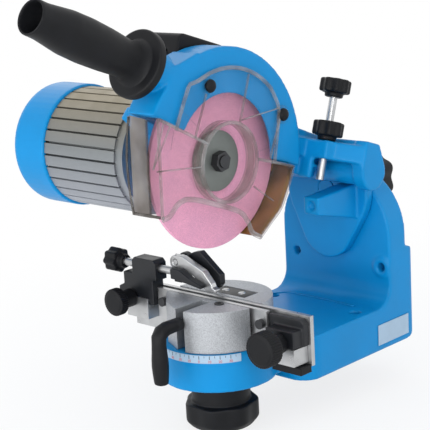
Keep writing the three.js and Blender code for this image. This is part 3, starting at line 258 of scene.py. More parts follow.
class Look:
    """A material in the making: object coordinates, colour, roughness and bump."""

    def __init__(self, name):
        self.mat = bpy.data.materials.new(name)
        self.mat.use_nodes = True
        self.tree = self.mat.node_tree
        self.tree.nodes.clear()
        self.out = self.add("ShaderNodeOutputMaterial")
        self.shader = self.add("ShaderNodeBsdfPrincipled")
        self.link(self.shader.outputs[0], self.out.inputs["Surface"])
        self.coords = self.add("ShaderNodeTexCoord").outputs["Object"]

    def add(self, kind):
        return self.tree.nodes.new(kind)

    def link(self, a, b):
        self.tree.links.new(a, b)

    def axis(self, name):
        split = self.add("ShaderNodeSeparateXYZ")
        self.link(self.coords, split.inputs[0])
        return split.outputs[name]

    def noise(self, scale, detail, roughness=0.5, stretch=None):
        node = self.add("ShaderNodeTexNoise")
        node.inputs["Scale"].default_value = scale
        node.inputs["Detail"].default_value = detail
        node.inputs["Roughness"].default_value = roughness
        source = self.coords
        if stretch:
            mapping = self.add("ShaderNodeMapping")
            mapping.inputs["Scale"].default_value = stretch
            self.link(source, mapping.inputs["Vector"])
            source = mapping.outputs[0]
        self.link(source, node.inputs["Vector"])
        return node.outputs["Fac"]

    def ramp(self, value, stops):
        node = self.add("ShaderNodeValToRGB")
        ramp = node.color_ramp
        ramp.elements[0].position, ramp.elements[0].color = stops[0]
        ramp.elements[1].position, ramp.elements[1].color = stops[-1]
        for position, colour in stops[1:-1]:
            ramp.elements.new(position).color = colour
        self.link(value, node.inputs["Fac"])
        return node.outputs["Color"]

    def colour(self, value, stops):
        self.link(self.ramp(value, stops), self.shader.inputs["Base Color"])

    def roughness(self, value, rough):
        spread = map_range(self.tree, value, NOISE_RANGE, rough)
        self.link(spread, self.shader.inputs["Roughness"])

    def metal(self, share):
        self.shader.inputs["Metallic"].default_value = share

    def bump(self, value, distance, strength=1.0, edge=0.0):
        """Relief in metres, over edges that look worn to a radius in metres."""
        node = self.add("ShaderNodeBump")
        node.inputs["Distance"].default_value = distance
        node.inputs["Strength"].default_value = strength
        self.link(value, node.inputs["Height"])
        if edge:
            bevel = self.add("ShaderNodeBevel")
            bevel.samples = 4
            bevel.inputs["Radius"].default_value = edge
            self.link(bevel.outputs[0], node.inputs["Normal"])
        self.link(node.outputs[0], self.shader.inputs["Normal"])


# Plain surfaces: colour, its variation, range of roughness, share of metal, scale of the patches,
# depth of the grain, scale of the grain and radius of the edges
SURFACES = {
    "blue_paint": ((3, 132, 194), 0.05, (0.34, 0.46), 0.0, 28, 0.00012, 420, 0.0016),
    "cast_aluminium": ((176, 178, 178), 0.1, (0.38, 0.55), 0.85, 90, 0.00012, 900, 0.0006),
    "flange_steel": ((122, 127, 124), 0.1, (0.45, 0.6), 0.6, 90, 0.00004, 900, 0.0004),
    "steel": ((188, 189, 190), 0.07, (0.26, 0.4), 0.9, 120, 0.00003, 1500, 0.0004),
    "dark_steel": ((66, 67, 69), 0.12, (0.35, 0.5), 0.8, 120, 0.00004, 1200, 0.0004),
    "black_plastic": ((18, 19, 22), 0.18, (0.42, 0.56), 0.0, 70, 0.00006, 1300, 0.0009),
    "black_paint": ((24, 26, 30), 0.15, (0.34, 0.48), 0.0, 80, 0.00005, 900, 0.0005),
    "label_white": ((160, 184, 204), 0.06, (0.3, 0.4), 0.0, 60, 0.00002, 600, 0.0002),
    "print_black": ((40, 40, 44), 0.1, (0.4, 0.5), 0.0, 300, 0.00001, 900, 0),
    "print_red": ((190, 52, 48), 0.1, (0.4, 0.5), 0.0, 300, 0.00001, 900, 0),
}
GLOSS = {
    "blue_paint": {"Specular IOR Level": 0.16, "Coat Weight": 0.1, "Coat Roughness": 0.18},
    "black_plastic": {"Specular IOR Level": 0.2},
    "black_paint": {"Specular IOR Level": 0.35},
}


def plain_surface(name, colour, variation, rough, metal, scale, grain, grain_scale, edge):
    look = Look(name)
    for socket, value in GLOSS.get(name, {}).items():
        look.shader.inputs[socket].default_value = value
    patches = look.noise(scale, 4)
    look.colour(patches, shades(linear(*colour), 1 - variation, 1 + variation))
    look.roughness(patches, rough)
    look.metal(metal)
    look.bump(look.noise(grain_scale, 2), grain, 0.6, edge)
    return look.mat


# Wound and stacked metal: colour, its darkest and lightest factor, scale, detail and stretch of the
# layers, range of roughness, share of metal and depth of the layers
LAYERED = {
    "copper": ((176, 96, 46), 0.6, 1.2, 300, 2, (6, 1, 6), (0.3, 0.45), 0.8, 0.0004),
    "laminate": ((110, 112, 116), 0.7, 1.15, 400, 1, (0.1, 4, 0.1), (0.45, 0.6), 0.7, 0.0002),
}


def layered_metal(name, colour, dark, light, scale, detail, stretch, rough, metal, depth):
    look = Look(name)
    layers = look.noise(scale, detail, 0.5, stretch)
    look.colour(layers, shades(linear(*colour), dark, light, 0.35))
    look.roughness(layers, rough)
    look.metal(metal)
    look.bump(layers, depth)
    return look.mat


def turned_aluminium():
    """Aluminium with the fine rings that a lathe leaves round the vise's axis."""
    look = Look("turned_aluminium")
    grain = look.noise(1500, 2, 0.7)
    look.colour(grain, shades(linear(178, 181, 185), 0.66, 1.2, 0.36))
    look.roughness(grain, (0.4, 0.56))
    look.metal(0.85)
    centre = look.add("ShaderNodeMapping")
    centre.inputs["Location"].default_value = (-VISE_X * MM, 0, 0)
    look.link(look.coords, centre.inputs["Vector"])
    rings = look.add("ShaderNodeTexWave")
    rings.wave_type = "RINGS"
    rings.rings_direction = "Z"
    rings.inputs["Scale"].default_value = 260
    rings.inputs["Distortion"].default_value = 1.2
    look.link(centre.outputs[0], rings.inputs["Vector"])
    look.bump(rings.outputs["Fac"], 0.00004, 0.5, 0.0006)
    return look.mat


# Heights in metres between which the fins' painted light changes, and the tints on the way up:
# lighter low down and darker in the middle as painted shading, and warm brown at the top as a
# painted reflection
FIN_PAINTED_LIGHT_HEIGHTS = (0.15, 0.24)
FIN_PAINTED_LIGHT_TINTS = [(0.0, (168, 172, 180)), (0.55, (128, 132, 134)), (1.0, (138, 130, 112))]


def fin_aluminium():
    """Cast fins whose tint follows height: painted shading, and a painted reflection that turns
    them warmer towards the top of the motor.
    """
    look = Look("fin_aluminium")
    height = map_range(look.tree, look.axis("Z"), FIN_PAINTED_LIGHT_HEIGHTS)
    # painted shading and reflection: the fins' colour follows their height, not their metal
    look.colour(height, [(place, linear(*tint) + (1,)) for place, tint in FIN_PAINTED_LIGHT_TINTS])
    look.roughness(look.noise(60, 4), (0.42, 0.58))
    look.metal(0.7)
    look.bump(look.noise(700, 2), 0.00015, 0.6, 0.0006)
    return look.mat


def pink_abrasive():
    """Bonded grit with faint clouds."""
    look = Look("pink_abrasive")
    grit = look.noise(1600, 2, 0.7)
    cloud = look.noise(45, 3)
    base = look.ramp(grit, shades(linear(224, 160, 186), 0.8, 1.18))
    wash = look.ramp(cloud, [(0.3, (0.93, 0.93, 0.95, 1)), (0.7, (1.05, 1.02, 1.02, 1))])
    mix = look.add("ShaderNodeMix")
    mix.data_type = "RGBA"
    mix.blend_type = "MULTIPLY"
    mix.inputs[0].default_value = 1.0
    look.link(base, mix.inputs[6])
    look.link(wash, mix.inputs[7])
    look.link(mix.outputs[2], look.shader.inputs["Base Color"])
    look.roughness(cloud, (0.85, 0.95))
    look.bump(grit, 0.0002, 0.7, 0.0005)
    return look.mat


# Plastics of the guard: tint, share of surface colour seen square on and seen from the side,
# darker and lighter colour, scale of the clouds, and whether its painted shade fades out in front
# of the wheel
PLASTICS = {
    # The grey to white surface colour of the clear plate, its edge lines and its collar, fuller
    # when seen from the side, is a painted reflection and highlight on clear plastic
    "clear_plastic": ((253, 252, 252), (0.005, 0.1), (150, 150, 150), (205, 206, 205), 35, False),
    "clear_edge": ((236, 233, 232), (0.12, 0.5), (140, 134, 130), (232, 233, 233), 60, False),
    "collar_plastic": ((232, 230, 228), (0.12, 0.62), (120, 110, 104), (196, 190, 184), 90, False),
    # Painted shade: the clear left wall is made dark grey-brown where the shadow inside the housing
    # shows through it
    "painted_shade_plastic": ((248, 246, 246), (0.78, 0.98), (84, 76, 70), (138, 132, 128), 26, True),
    "rim_plastic": ((200, 196, 190), (0.6, 0.95), (52, 46, 42), (120, 114, 108), 40, False),
    "amber_plastic": ((190, 160, 120), (0.78, 0.97), (30, 24, 20), (146, 104, 52), 22, False),
}
# Depths in metres between which a wall's painted shade grows from clear to full, and the share it
# keeps at its clear end
SHADE_FADE_DEPTHS = (-0.0068, -0.0052)
SHADE_FADE_SHARE = (0.06, 1)


def clear_plastic(name, tint, shares, dark, light, cell, shade_fades_in_front):
    """Thin moulded plastic, clear when seen square on and fuller when seen from the side; on the
    clear plate, its ribs and its collar that fuller colour is a painted reflection, and on the left
    wall it is a painted shade.
    """
    look = Look(name)
    cloud = look.noise(cell, 3)
    through = look.add("ShaderNodeBsdfTransparent")
    look.link(look.ramp(cloud, shades(linear(*tint), 0.98, 1.0)), through.inputs["Color"])
    look.colour(cloud, [(0.32, linear(*dark) + (1,)), (0.68, linear(*light) + (1,))])
    look.roughness(cloud, (0.04, 0.12))
    look.bump(look.noise(60, 2), 0.0003, 0.25, 0.0008)
    facing = look.add("ShaderNodeLayerWeight")
    facing.inputs["Blend"].default_value = 0.3
    amount = map_range(look.tree, facing.outputs["Facing"], (0, 1), shares)
    # the painted shade fades out where the wheel lies behind the wall
    if shade_fades_in_front:
        depth = map_range(look.tree, look.axis("Y"), SHADE_FADE_DEPTHS, SHADE_FADE_SHARE)
        amount = math_node(look.tree, "MULTIPLY", amount, depth)
    mix_shaders(look.tree, amount, through.outputs[0], look.shader.outputs[0], look.out)
    return look.mat


def make_looks():
    made = {name: plain_surface(name, *row) for name, row in SURFACES.items()}
    made.update({name: layered_metal(name, *row) for name, row in LAYERED.items()})
    made.update({name: clear_plastic(name, *row) for name, row in PLASTICS.items()})
    made["turned_aluminium"] = turned_aluminium()
    made["fin_aluminium"] = fin_aluminium()
    made["pink_abrasive"] = pink_abrasive()
    return made


# Which look each node of the solid model has
NODE_LOOKS = {
    "blue_paint": ["base_casting", "tilt_bracket", "head_casting", "motor_end_cap", "tilt_bolt"],
    "turned_aluminium": ["vise_drum"],
    "cast_aluminium": ["rear_end_shield"],
    "fin_aluminium": ["motor_shell"],
    "steel": ["head_hinge_pin", "return_spring", "handle_stud", "depth_rod", "front_bearing",
              "rear_bearing", "inner_flange", "vise_bolt", "fixed_rail", "moving_rail",
              "guide_bracket", "guide_nut", "stop_bracket", "stop_nut", "stop_rod", "pawl_pin",
              "pawl_spacer", "chain_pawl_silver"],
    "flange_steel": ["outer_flange"],
    "dark_steel": ["spindle_nut", "motor_shaft", "rail_bolt_left", "rail_bolt_right",
                   "drum_screw"],
    "black_plastic": ["tilt_lock_knob", "handle_grip", "switch_box", "switch_rocker",
                      "cable_gland", "guard_screw_left", "guard_screw_right", "depth_knob",
                      "depth_lock_knob", "cooling_fan", "vise_lock_knob", "clamp_lever",
                      "guide_pad", "guide_knob", "stop_lock_knob", "stop_knob"],
    "black_paint": ["guide_block", "stop_block", "stop_arm", "chain_pawl_black"],
    "pink_abrasive": ["grinding_wheel"],
    "label_white": ["angle_scale", "label_plate"],
    "copper": ["front_winding", "rear_winding"],
    "laminate": ["stator_core", "rotor_core"],
    "clear_plastic": ["wheel_guard"],
}
LOOK_OF = {node: look for look, nodes in NODE_LOOKS.items() for node in nodes}
SMOOTH_ANGLE = 34
WELD_REACH = 0.00001


def shade_smooth(mesh):
    mesh.polygons.foreach_set("use_smooth", [True] * len(mesh.polygons))


def add_weld(obj):
    obj.modifiers.new("weld", "WELD").merge_threshold = WELD_REACH


def smooth_group():
    """A node group that shades smooth across shallow edges only."""
    group = bpy.data.node_groups.new("smooth_by_angle", "GeometryNodeTree")
    for way in ("INPUT", "OUTPUT"):
        group.interface.new_socket("Geometry", in_out=way, socket_type="NodeSocketGeometry")
    entry = group.nodes.new("NodeGroupInput")
    leave = group.nodes.new("NodeGroupOutput")
    angle = group.nodes.new("GeometryNodeInputMeshEdgeAngle")
    less = group.nodes.new("FunctionNodeCompare")
    less.data_type = "FLOAT"
    less.operation = "LESS_EQUAL"
    less.inputs[1].default_value = math.radians(SMOOTH_ANGLE)
    shade = group.nodes.new("GeometryNodeSetShadeSmooth")
    shade.domain = "EDGE"
    group.links.new(angle.outputs["Unsigned Angle"], less.inputs[0])
    group.links.new(entry.outputs[0], shade.inputs["Geometry"])
    group.links.new(less.outputs[0], shade.inputs["Shade Smooth"])
    group.links.new(shade.outputs[0], leave.inputs[0])
    return group


def dress_nodes(looks):
    group = smooth_group()
    for node, look in LOOK_OF.items():
        obj = frame["nodes"][node]
        obj.data.materials.clear()
        obj.data.materials.append(looks[look])
        add_weld(obj)
        shade_smooth(obj.data)
        obj.modifiers.new("smooth", "NODES").node_group = group


def add_piece(name, mesh, node, looks, look=None, replace=True):
    """A new piece that moves, and takes its finish, as the node does."""
    obj = new_object(name, mesh)
    mesh.materials.clear()
    mesh.materials.append(looks[look or LOOK_OF[node]])
    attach(obj, frame["nodes"][node]["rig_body"])
    if replace:
        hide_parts(node)
    return obj


def applied(obj):
    """The object's mesh with its modifiers applied. The object is removed."""
    depsgraph = bpy.context.evaluated_depsgraph_get()
    mesh = bpy.data.meshes.new_from_object(obj.evaluated_get(depsgraph))
    bpy.data.objects.remove(obj)
    return mesh


def finished(bm, name):
    """The mesh with its faces turned outward."""
    bmesh.ops.recalc_face_normals(bm, faces=bm.faces)
    mesh = bpy.data.meshes.new(name)
    bm.to_mesh(mesh)
    bm.free()
    shade_smooth(mesh)
    return mesh


# Castings and mouldings: the node's form with the soft edges and fillets of a mould.
# For each node: the frame its cells follow, size of a cell, passes of smoothing and the share
# of faces that is kept.
ROUNDED = {
    "base_casting": (LEVEL, 1.2, 9, 0.35),
    "head_casting": (HEAD, 1.2, 9, 0.35),
    "tilt_bracket": (LEVEL, 0.9, 8, 0.35),
    "motor_end_cap": (HEAD, 1.0, 6, 0.5),
    "switch_box": (HEAD, 0.8, 12, 0.35),
    "guide_block": (LEVEL, 0.6, 6, 0.5),
    "stop_block": (LEVEL, 0.6, 6, 0.5),
    "stop_arm": (LEVEL, 0.5, 4, 0.5),
    "chain_pawl_silver": (LEVEL, 0.4, 4, 0.5),
    "chain_pawl_black": (LEVEL, 0.4, 4, 0.5),
    "guide_pad": (LEVEL, 0.5, 5, 0.5),
    "switch_rocker": (LEVEL, 0.4, 5, 0.5),
}


def rounded_mesh(node, own, cell, passes, share):
    """The node's form, cut into small cells, smoothed and thinned out."""
    mesh = frame["nodes"][node].data.copy()
    mesh.transform(own.inverted())
    obj = new_object("rounding", mesh)
    add_weld(obj)
    remesh = obj.modifiers.new("remesh", "REMESH")
    remesh.mode = "VOXEL"
    remesh.voxel_size = cell * MM
    smooth = obj.modifiers.new("smooth", "SMOOTH")
    smooth.factor = 0.5
    smooth.iterations = passes
    obj.modifiers.new("fewer", "DECIMATE").ratio = share
    done = applied(obj)
    done.transform(own)
    shade_smooth(done)
    return done


def add_rounded(looks):
    for node, row in ROUNDED.items():
        add_piece(node + "_moulded", rounded_mesh(node, *row), node, looks)


# Rings and the faces between them
TINY = 1e-6


def join_rings(bm, rings, closed=False):
    """Faces from ring to ring. A ring of one point is a tip."""
    pairs = list(zip(rings, rings[1:]))
    if closed:
        pairs.append((rings[-1], rings[0]))
    for low, high in pairs:
        count = max(len(low), len(high))
        if count == 1:
            continue
        for i in range(count):
            j = (i + 1) % count
            if len(low) == 1:
                bm.faces.new((low[0], high[j], high[i]))
            elif len(high) == 1:
                bm.faces.new((low[i], low[j], high[0]))
            else:
                bm.faces.new((low[i], low[j], high[j], high[i]))


def cap_ends(bm, rings):
    bm.faces.new(rings[0])
    bm.faces.new(rings[-1])


# Turned and lobed pieces.
# A profile's points are radius, place along the axis and share of the lobes' dip.
def soften(profile, radius, steps=4):
    """Rounds each inner corner of a profile."""
    line = [tuple(p) + (0,) * (3 - len(p)) for p in profile]
    out = [line[0]]
    for before, here, after in zip(line, line[1:], line[2:]):
        corner = Vector(here)
        ends = []
        for other in (before, after):
            way = Vector(other) - corner
            length = way.xy.length
            ends.append(corner + way * (min(radius, 0.45 * length) / max(length, TINY)))
        for i in range(steps + 1):
            t = i / steps
            spot = (1 - t) ** 2 * ends[0] + 2 * t * (1 - t) * corner + t * t * ends[1]
            out.append(tuple(spot))
    out.append(line[-1])
    return out


def spun_mesh(name, profile, place, segments, lobes=0, dip=0.0, closed=False):
    """A body of revolution on the place's Z axis, with lobes whose rim dips between them."""
    bm = bmesh.new()
    rings = []
    for radius, along, weight in profile:
        if radius < TINY:
            rings.append([bm.verts.new((0, 0, along * MM))])
            continue
        ring = []
        for i in range(segments):
            angle = 2 * math.pi * i / segments
            reach = (radius - dip * weight * (1 - math.cos(lobes * angle)) / 2) * MM
            ring.append(bm.verts.new((reach * math.cos(angle), reach * math.sin(angle),
                                      along * MM)))
        rings.append(ring)
    join_rings(bm, rings, closed)
    bm.transform(place)
    return finished(bm, name)


# The handle: its direction, the offset of its axis from the wheel's centre, its flange, the
# grip's radius at shares of its length, and its hollow end.
# The points of the flange and the end are radius and distance along the axis.
HANDLE_ANGLE = 173.6
HANDLE_OFFSET = 47.5
HANDLE_FLANGE = [(6.3, 102.3), (27.5, 102.3), (27.5, 110), (20.4, 110)]
GRIP_START, GRIP_END = 110, 216
GRIP_WAIST = [(0.0, 19.0), (0.025, 16.6), (0.06, 15.3), (0.12, 15.0), (0.3, 16.6), (0.5, 17.5),
              (0.68, 17.0), (0.82, 15.0), (0.9, 13.9), (0.96, 13.8), (1.0, 13.8)]
HANDLE_END = [(12.2, 216), (11.6, 212), (10, 190), (6.3, 190)]


def add_handle(looks):
    tilt = math.radians(HANDLE_ANGLE)
    lift = tilt - math.pi / 2
    place = from_wheel(HANDLE_OFFSET * math.cos(lift), HANDLE_OFFSET * math.sin(lift))
    place = place @ Matrix.Rotation(-tilt, 4, "Y") @ ALONG_X
    grip = [(r, GRIP_START + share * (GRIP_END - GRIP_START)) for share, r in GRIP_WAIST]
    profile = soften([*HANDLE_FLANGE, *grip, *HANDLE_END], 2.2, 5)
    mesh = spun_mesh("grip_handle", profile, place, 128, closed=True)
    add_piece("grip_handle", mesh, "handle_grip", looks)


def knurled_profile(start, hub, length, radius):
    """A clamp knob on a hub, with a stud's hole behind it."""
    near = start - hub
    face = near - length
    return [(0, face, 0), (radius - 3.4, face, 0), (radius - 2.6, face + 0.6, 0),
            (radius - 0.6, face + 0.6, 0.3), (radius, face + 1.6, 1), (radius, near - 1, 1),
            (radius - 0.8, near, 0.2), (8, near, 0), (8, start, 0), (3, start, 0), (3, 9.3, 0),
            (0, 9.3, 0)]


DEPTH_ROD = HEAD @ at(-30.3, -26, 0)
# Knobs: node, piece, place, segments, lobes, dip, whether the profile closes on itself,
# rounding of its corners, steps of the rounding, profile
KNOBS = [
    ("tilt_lock_knob", "tilt_knob_lobed", at(0, 0, 140) @ ALONG_X, 168, 7, 4, True, 2.6, 4,
     [(6.3, 68.3, 0), (14, 68.3, 0), (14, 77, 0), (18, 78, 0.6), (26.6, 79, 1), (26.6, 102.4, 1),
      (20, 103, 1), (6.3, 103, 0)]),
    ("vise_lock_knob", "vise_knob_lobed", VISE, 168, 7, 2, False, 1.6, 4,
     [(0, -33, 0), (26.5, -33, 0), (29.5, -30, 0.5), (31.5, -27.5, 1), (31.5, -13, 1),
      (30, -12, 0.8), (25, -12, 0), (25, 9.7, 0), (6.3, 9.7, 0), (6.3, -27.3, 0),
      (0, -27.3, 0)]),
    ("depth_knob", "depth_knob_lobed", DEPTH_ROD, 128, 8, 1.8, False, 1.8, 4,
     [(0, 58, 0), (8, 58, 0), (8, 61.5, 0), (13.5, 62.3, 1), (13.5, 73.6, 1), (9, 74, 0.6),
      (0, 74, 0)]),
    ("depth_lock_knob", "depth_lock_lobed", DEPTH_ROD, 128, 8, 1.8, True, 1.8, 4,
     [(3.8, 20.3, 0), (8, 20.3, 0), (8, 24, 0), (13.5, 24.4, 1), (13.5, 36.6, 1), (9, 37, 0.6),
      (3.8, 37, 0)]),
    ("guide_knob", "guide_knob_knurled", VISE @ at(0, -83, 57) @ ALONG_X, 240, 40, 0.9, False,
     0.9, 3, knurled_profile(-15.9, 12.4, 13, 14.5)),
    ("stop_lock_knob", "stop_lock_knob_knurled", VISE @ at(0, 88, 66) @ ALONG_X, 240, 40, 0.9,
     False, 0.9, 3, knurled_profile(-14.5, 13, 9, 12)),
    ("stop_knob", "stop_knob_lobed", VISE @ at(-5, 0, 94) @ ALONG_Y, 128, 8, 1.6, False, 1.6, 4,
     [(0, 121, 0), (7, 121, 0.4), (11, 120.6, 1), (11, 107.6, 1), (6, 107, 0), (6, 101.3, 0),
      (3.8, 101.3, 0), (3.8, 118.3, 0), (0, 118.3, 0)]),
]


def add_knobs(looks):
    for node, name, place, segments, lobes, dip, closed, radius, steps, profile in KNOBS:
        soft = soften(profile, radius, steps)
        add_piece(name, spun_mesh(name, soft, place, segments, lobes, dip, closed), node, looks)


# The clamp lever's middle line: x, z and radius at each point
LEVER_LINE = [(-7.3, 67.5, 3.7), (-47.7, 67.5, 3.7), (-48, 67.5, 3.8), (-48.1, 67.5, 5.8),
              (-56, 67.5, 5.9), (-63, 67.4, 6.2), (-68.6, 65.8, 6.5), (-71.6, 62, 6.4),
              (-72, 56, 6.2), (-72, 50, 6.6), (-72, 44, 7.1), (-72, 38, 7.3), (-72, 31, 6.8),
              (-72, 25, 6.2), (-72, 23.6, 5.8), (-72, 23, 4.8)]
LEVER_Y = -4
LEVER_SIDES = 40
LEVER_FLATNESS = 0.92


def add_lever(looks):
    """The clamp lever: a bent bar that swells at its elbow and ends in a flat-cut grip."""
    bm = bmesh.new()
    rings = []
    last = len(LEVER_LINE) - 1
    for i, (x, z, radius) in enumerate(LEVER_LINE):
        before, after = LEVER_LINE[max(i - 1, 0)], LEVER_LINE[min(i + 1, last)]
        way = Vector((after[0] - before[0], 0, after[1] - before[1])).normalized()
        side = Vector((0, 1, 0))
        out = way.cross(side)
        ring = []
        for j in range(LEVER_SIDES):
            angle = 2 * math.pi * j / LEVER_SIDES
            reach = math.cos(angle) * side + LEVER_FLATNESS * math.sin(angle) * out
            ring.append(bm.verts.new((Vector((x, LEVER_Y, z)) + radius * reach) * MM))
        rings.append(ring)
    join_rings(bm, rings)
    cap_ends(bm, rings)
    bm.transform(VISE)
    add_piece("lever_arm", finished(bm, "lever_arm"), "clamp_lever", looks)


# The guard's screws: x and z from the wheel's centre, and one profile for both
GUARD_SCREWS = {"guard_screw_left": (-37, 55.4), "guard_screw_right": (56.1, 48.7)}
SCREW_PROFILE = [(0, -23.1), (1.6, -22.9), (3.2, -22.4), (4.6, -21.4), (5.4, -20.1),
                 (5.5, -19.1), (2, -19.1), (2, -9), (0, -9)]


def add_guard_screws(looks):
    for node, (x, z) in GUARD_SCREWS.items():
        name = node + "_domed"
        place = from_wheel(x, z) @ ALONG_Y
        add_piece(name, spun_mesh(name, soften(SCREW_PROFILE, 0.3, 2), place, 48), node, looks)


# Raised lines: a bar of rounded section laid along a line of points
SECTION = [(0.5, 0), (0.46, 0.5), (0.32, 0.88), (0, 1), (-0.32, 0.88), (-0.46, 0.5), (-0.5, 0),
           (-0.32, -0.3), (0.32, -0.3)]


def curve_through(points, steps):
    """A smooth line through the points, or a straight one where there is one step."""
    spots = [Vector(p) for p in points]
    if steps == 1:
        return spots
    ends = [2 * spots[0] - spots[1], *spots, 2 * spots[-1] - spots[-2]]
    out = []
    for a, b, c, d in zip(ends, ends[1:], ends[2:], ends[3:]):
        for i in range(steps):
            t = i / steps
            out.append(0.5 * (2 * b + (c - a) * t + (2 * a - 5 * b + 4 * c - d) * t * t
                              + (3 * b - a - 3 * c + d) * t ** 3))
    out.append(spots[-1])
    return out


def strip(bm, line, width, height, normal, place, closed=False):
    """Adds a bar that stands up along normal and lies on both sides of the line."""
    count = len(line)
    rings = []
    for i, spot in enumerate(line):
        before = line[(i - 1) % count] if closed else line[max(i - 1, 0)]
        after = line[(i + 1) % count] if closed else line[min(i + 1, count - 1)]
        side = (after - before).normalized().cross(normal)
        rings.append([bm.verts.new(place @ ((spot + side * u * width + normal * v * height) * MM))
                      for u, v in SECTION])
    join_rings(bm, rings, closed)
    if not closed:
        cap_ends(bm, rings)


# Where the guard's walls and its collar begin, measured from the wheel's centre; the left wall
# takes the painted shade
PAINTED_SHADE_WALL_X, PAINTED_SHADE_WALL_TOP = -60, 16
AMBER_WALL_X, AMBER_WALL_TOP = 50, 9
COLLAR_REACH = 36


def dress_guard(looks):
    """The guard's left wall takes a painted shade, its right wall amber and its collar glossy."""
    mesh = frame["nodes"]["wheel_guard"].data
    for look in ("painted_shade_plastic", "amber_plastic", "collar_plastic"):
        mesh.materials.append(looks[look])
    back = from_wheel(0, 0).inverted()
    turn = back.to_3x3()
    for face in mesh.polygons:
        x, _, z = (back @ face.center) / MM
        if abs((turn @ face.normal).y) >= 0.5:
            continue
        # painted shade on the left wall, for the shadow inside the housing behind it
        if x < PAINTED_SHADE_WALL_X and z < PAINTED_SHADE_WALL_TOP:
            face.material_index = 1
        elif x > AMBER_WALL_X and z < AMBER_WALL_TOP:
            face.material_index = 2
        elif math.hypot(x, z) < COLLAR_REACH:
            face.material_index = 3


# Lines on the guard, as x and z from the wheel's centre
FAN_RADIUS = 76
FAN_ARC = [(FAN_RADIUS * math.cos(math.radians(a)), FAN_RADIUS * math.sin(math.radians(a)))
           for a in range(122, 61, -4)]
FAN = [(-66.0, 15), (-64, 30), (-60.4, 50), (-57.5, 53.4), (-51.5, 56.4), *FAN_ARC,
       (36.6, 66), (43, 60.5), (50, 51), (53.4, 28), (55.4, 9)]
LOWER_EDGE = [(-65.3, -54.6), (-58, -50.9), (-51, -40.3), (-38.4, -35.1), (-9.9, -35.2),
              (20.5, -37.6), (33, -44.1), (41.1, -52.4), (52.9, -55.3)]
LEFT_EDGE = [(-88.7, 20.9), (-81, -4), (-73, -30), (-65.3, -54.6)]
RIGHT_EDGE = [(52.9, -55.3), (63, -41.4), (72.9, -27.3), (78.2, -4.5), (79.5, 9)]
# Raised lines: points, y, width, height, and steps between two points
GUARD_LINES = [
    (FAN, -18.6, 3.4, 1.5, 2),
    (LOWER_EDGE, -19.6, 4.4, 1.9, 6),
    (LEFT_EDGE, -19.6, 2.6, 1.5, 4),
    (RIGHT_EDGE, -19.6, 3.0, 1.5, 4),
    ([(-40.0, 48.5), (-44.1, 12.8)], -18.8, 1.1, 1.6, 1),
    ([(5.3, 73.5), (4.6, 33.7)], -18.8, 1.1, 1.6, 1),
    ([(49, 53), (6.6, 35.7)], -18.8, 1.1, 1.6, 1),
    ([(52.8, 45.2), (48.8, 10.7)], -18.8, 1.1, 1.6, 1),
    ([(-80.1, -19.1), (-33.5, -8.6)], -20, 1.3, 1.2, 1),
    ([(33.2, -15.1), (60.5, -23.6)], -20, 1.3, 1.2, 1),
    ([(-84.6, -18.2), (-82.2, 18.0)], -20, 1.2, 1.0, 1),
    ([(-84.6, -18.2), (-74.5, 17.5)], -20, 1.2, 1.0, 1),
    ([(-87, 20.2), (-43.2, 12.7), (-31, 10.6)], -20, 2.6, 1.4, 1),
    ([(33.4, 7.7), (78.5, 8.4)], -20, 2.6, 1.4, 1),
]
RING_RADIUS, RING_Y, RING_WIDTH, RING_HEIGHT, RING_SEGMENTS = 32.2, -19.8, 3.2, 1.8, 96


def add_guard_ribs(looks):
    """The thickened edges, folds and ribs of the clear guard, and the ring of its collar."""
    bm = bmesh.new()
    place = from_wheel(0, 0)
    for points, y, width, height, steps in GUARD_LINES:
        line = curve_through([(x, y, z) for x, z in points], steps)
        strip(bm, line, width, height, FRONT, place)
    angles = (2 * math.pi * i / RING_SEGMENTS for i in range(RING_SEGMENTS))
    ring = [Vector((RING_RADIUS * math.cos(a), RING_Y, RING_RADIUS * math.sin(a)))
            for a in angles]
    strip(bm, ring, RING_WIDTH, RING_HEIGHT, FRONT, place, True)
    add_piece("guard_ribs", finished(bm, "guard_ribs"), "wheel_guard", looks, "clear_edge", False)


# The rim of the left wall with the painted shade: outward direction, upper and lower end as x and
# z, depth and bulge of its rear edge
WALL_OUTWARD = Vector((-0.955, 0, -0.296))
WALL_TOP, WALL_FOOT = (-88.9, 20.0), (-65.5, -54.4)
WALL_DEPTH, WALL_BULGE = 12, 4.5
WALL_STEPS = 16
RIM_WIDTH = 2.4


def add_guard_rim(looks):
    """The dark rim of the left wall, along its rear and its foot."""
    bm = bmesh.new()
    place = from_wheel(0, 0)
    (top_x, top_z), (foot_x, foot_z) = WALL_TOP, WALL_FOOT
    rear = []
    for i in range(WALL_STEPS + 1):
        bulge = WALL_BULGE * math.sin(math.pi * i / WALL_STEPS)
        rear.append(Vector((top_x + (foot_x - top_x) * i / WALL_STEPS, WALL_DEPTH + bulge,
                            top_z + (foot_z - top_z) * i / WALL_STEPS)))
    strip(bm, rear, RIM_WIDTH, 0.6, WALL_OUTWARD, place)
    low = [Vector((foot_x - 0.4, y, foot_z + 1.2)) for y in (11, 0, -10, -18)]
    strip(bm, low, RIM_WIDTH, 0.5, WALL_OUTWARD, place)
    add_piece("guard_rim", finished(bm, "guard_rim"), "wheel_guard", looks, "rim_plastic", False)


# Faces of a box whose eight corners run with the last axis slowest
BOX_FACES = ((0, 2, 3, 1), (4, 5, 7, 6), (0, 1, 5, 4), (2, 6, 7, 3), (0, 4, 6, 2), (1, 3, 7, 5))


def add_box(bm, corners):
    verts = [bm.verts.new(c) for c in corners]
    for face in BOX_FACES:
        bm.faces.new([verts[i] for i in face])


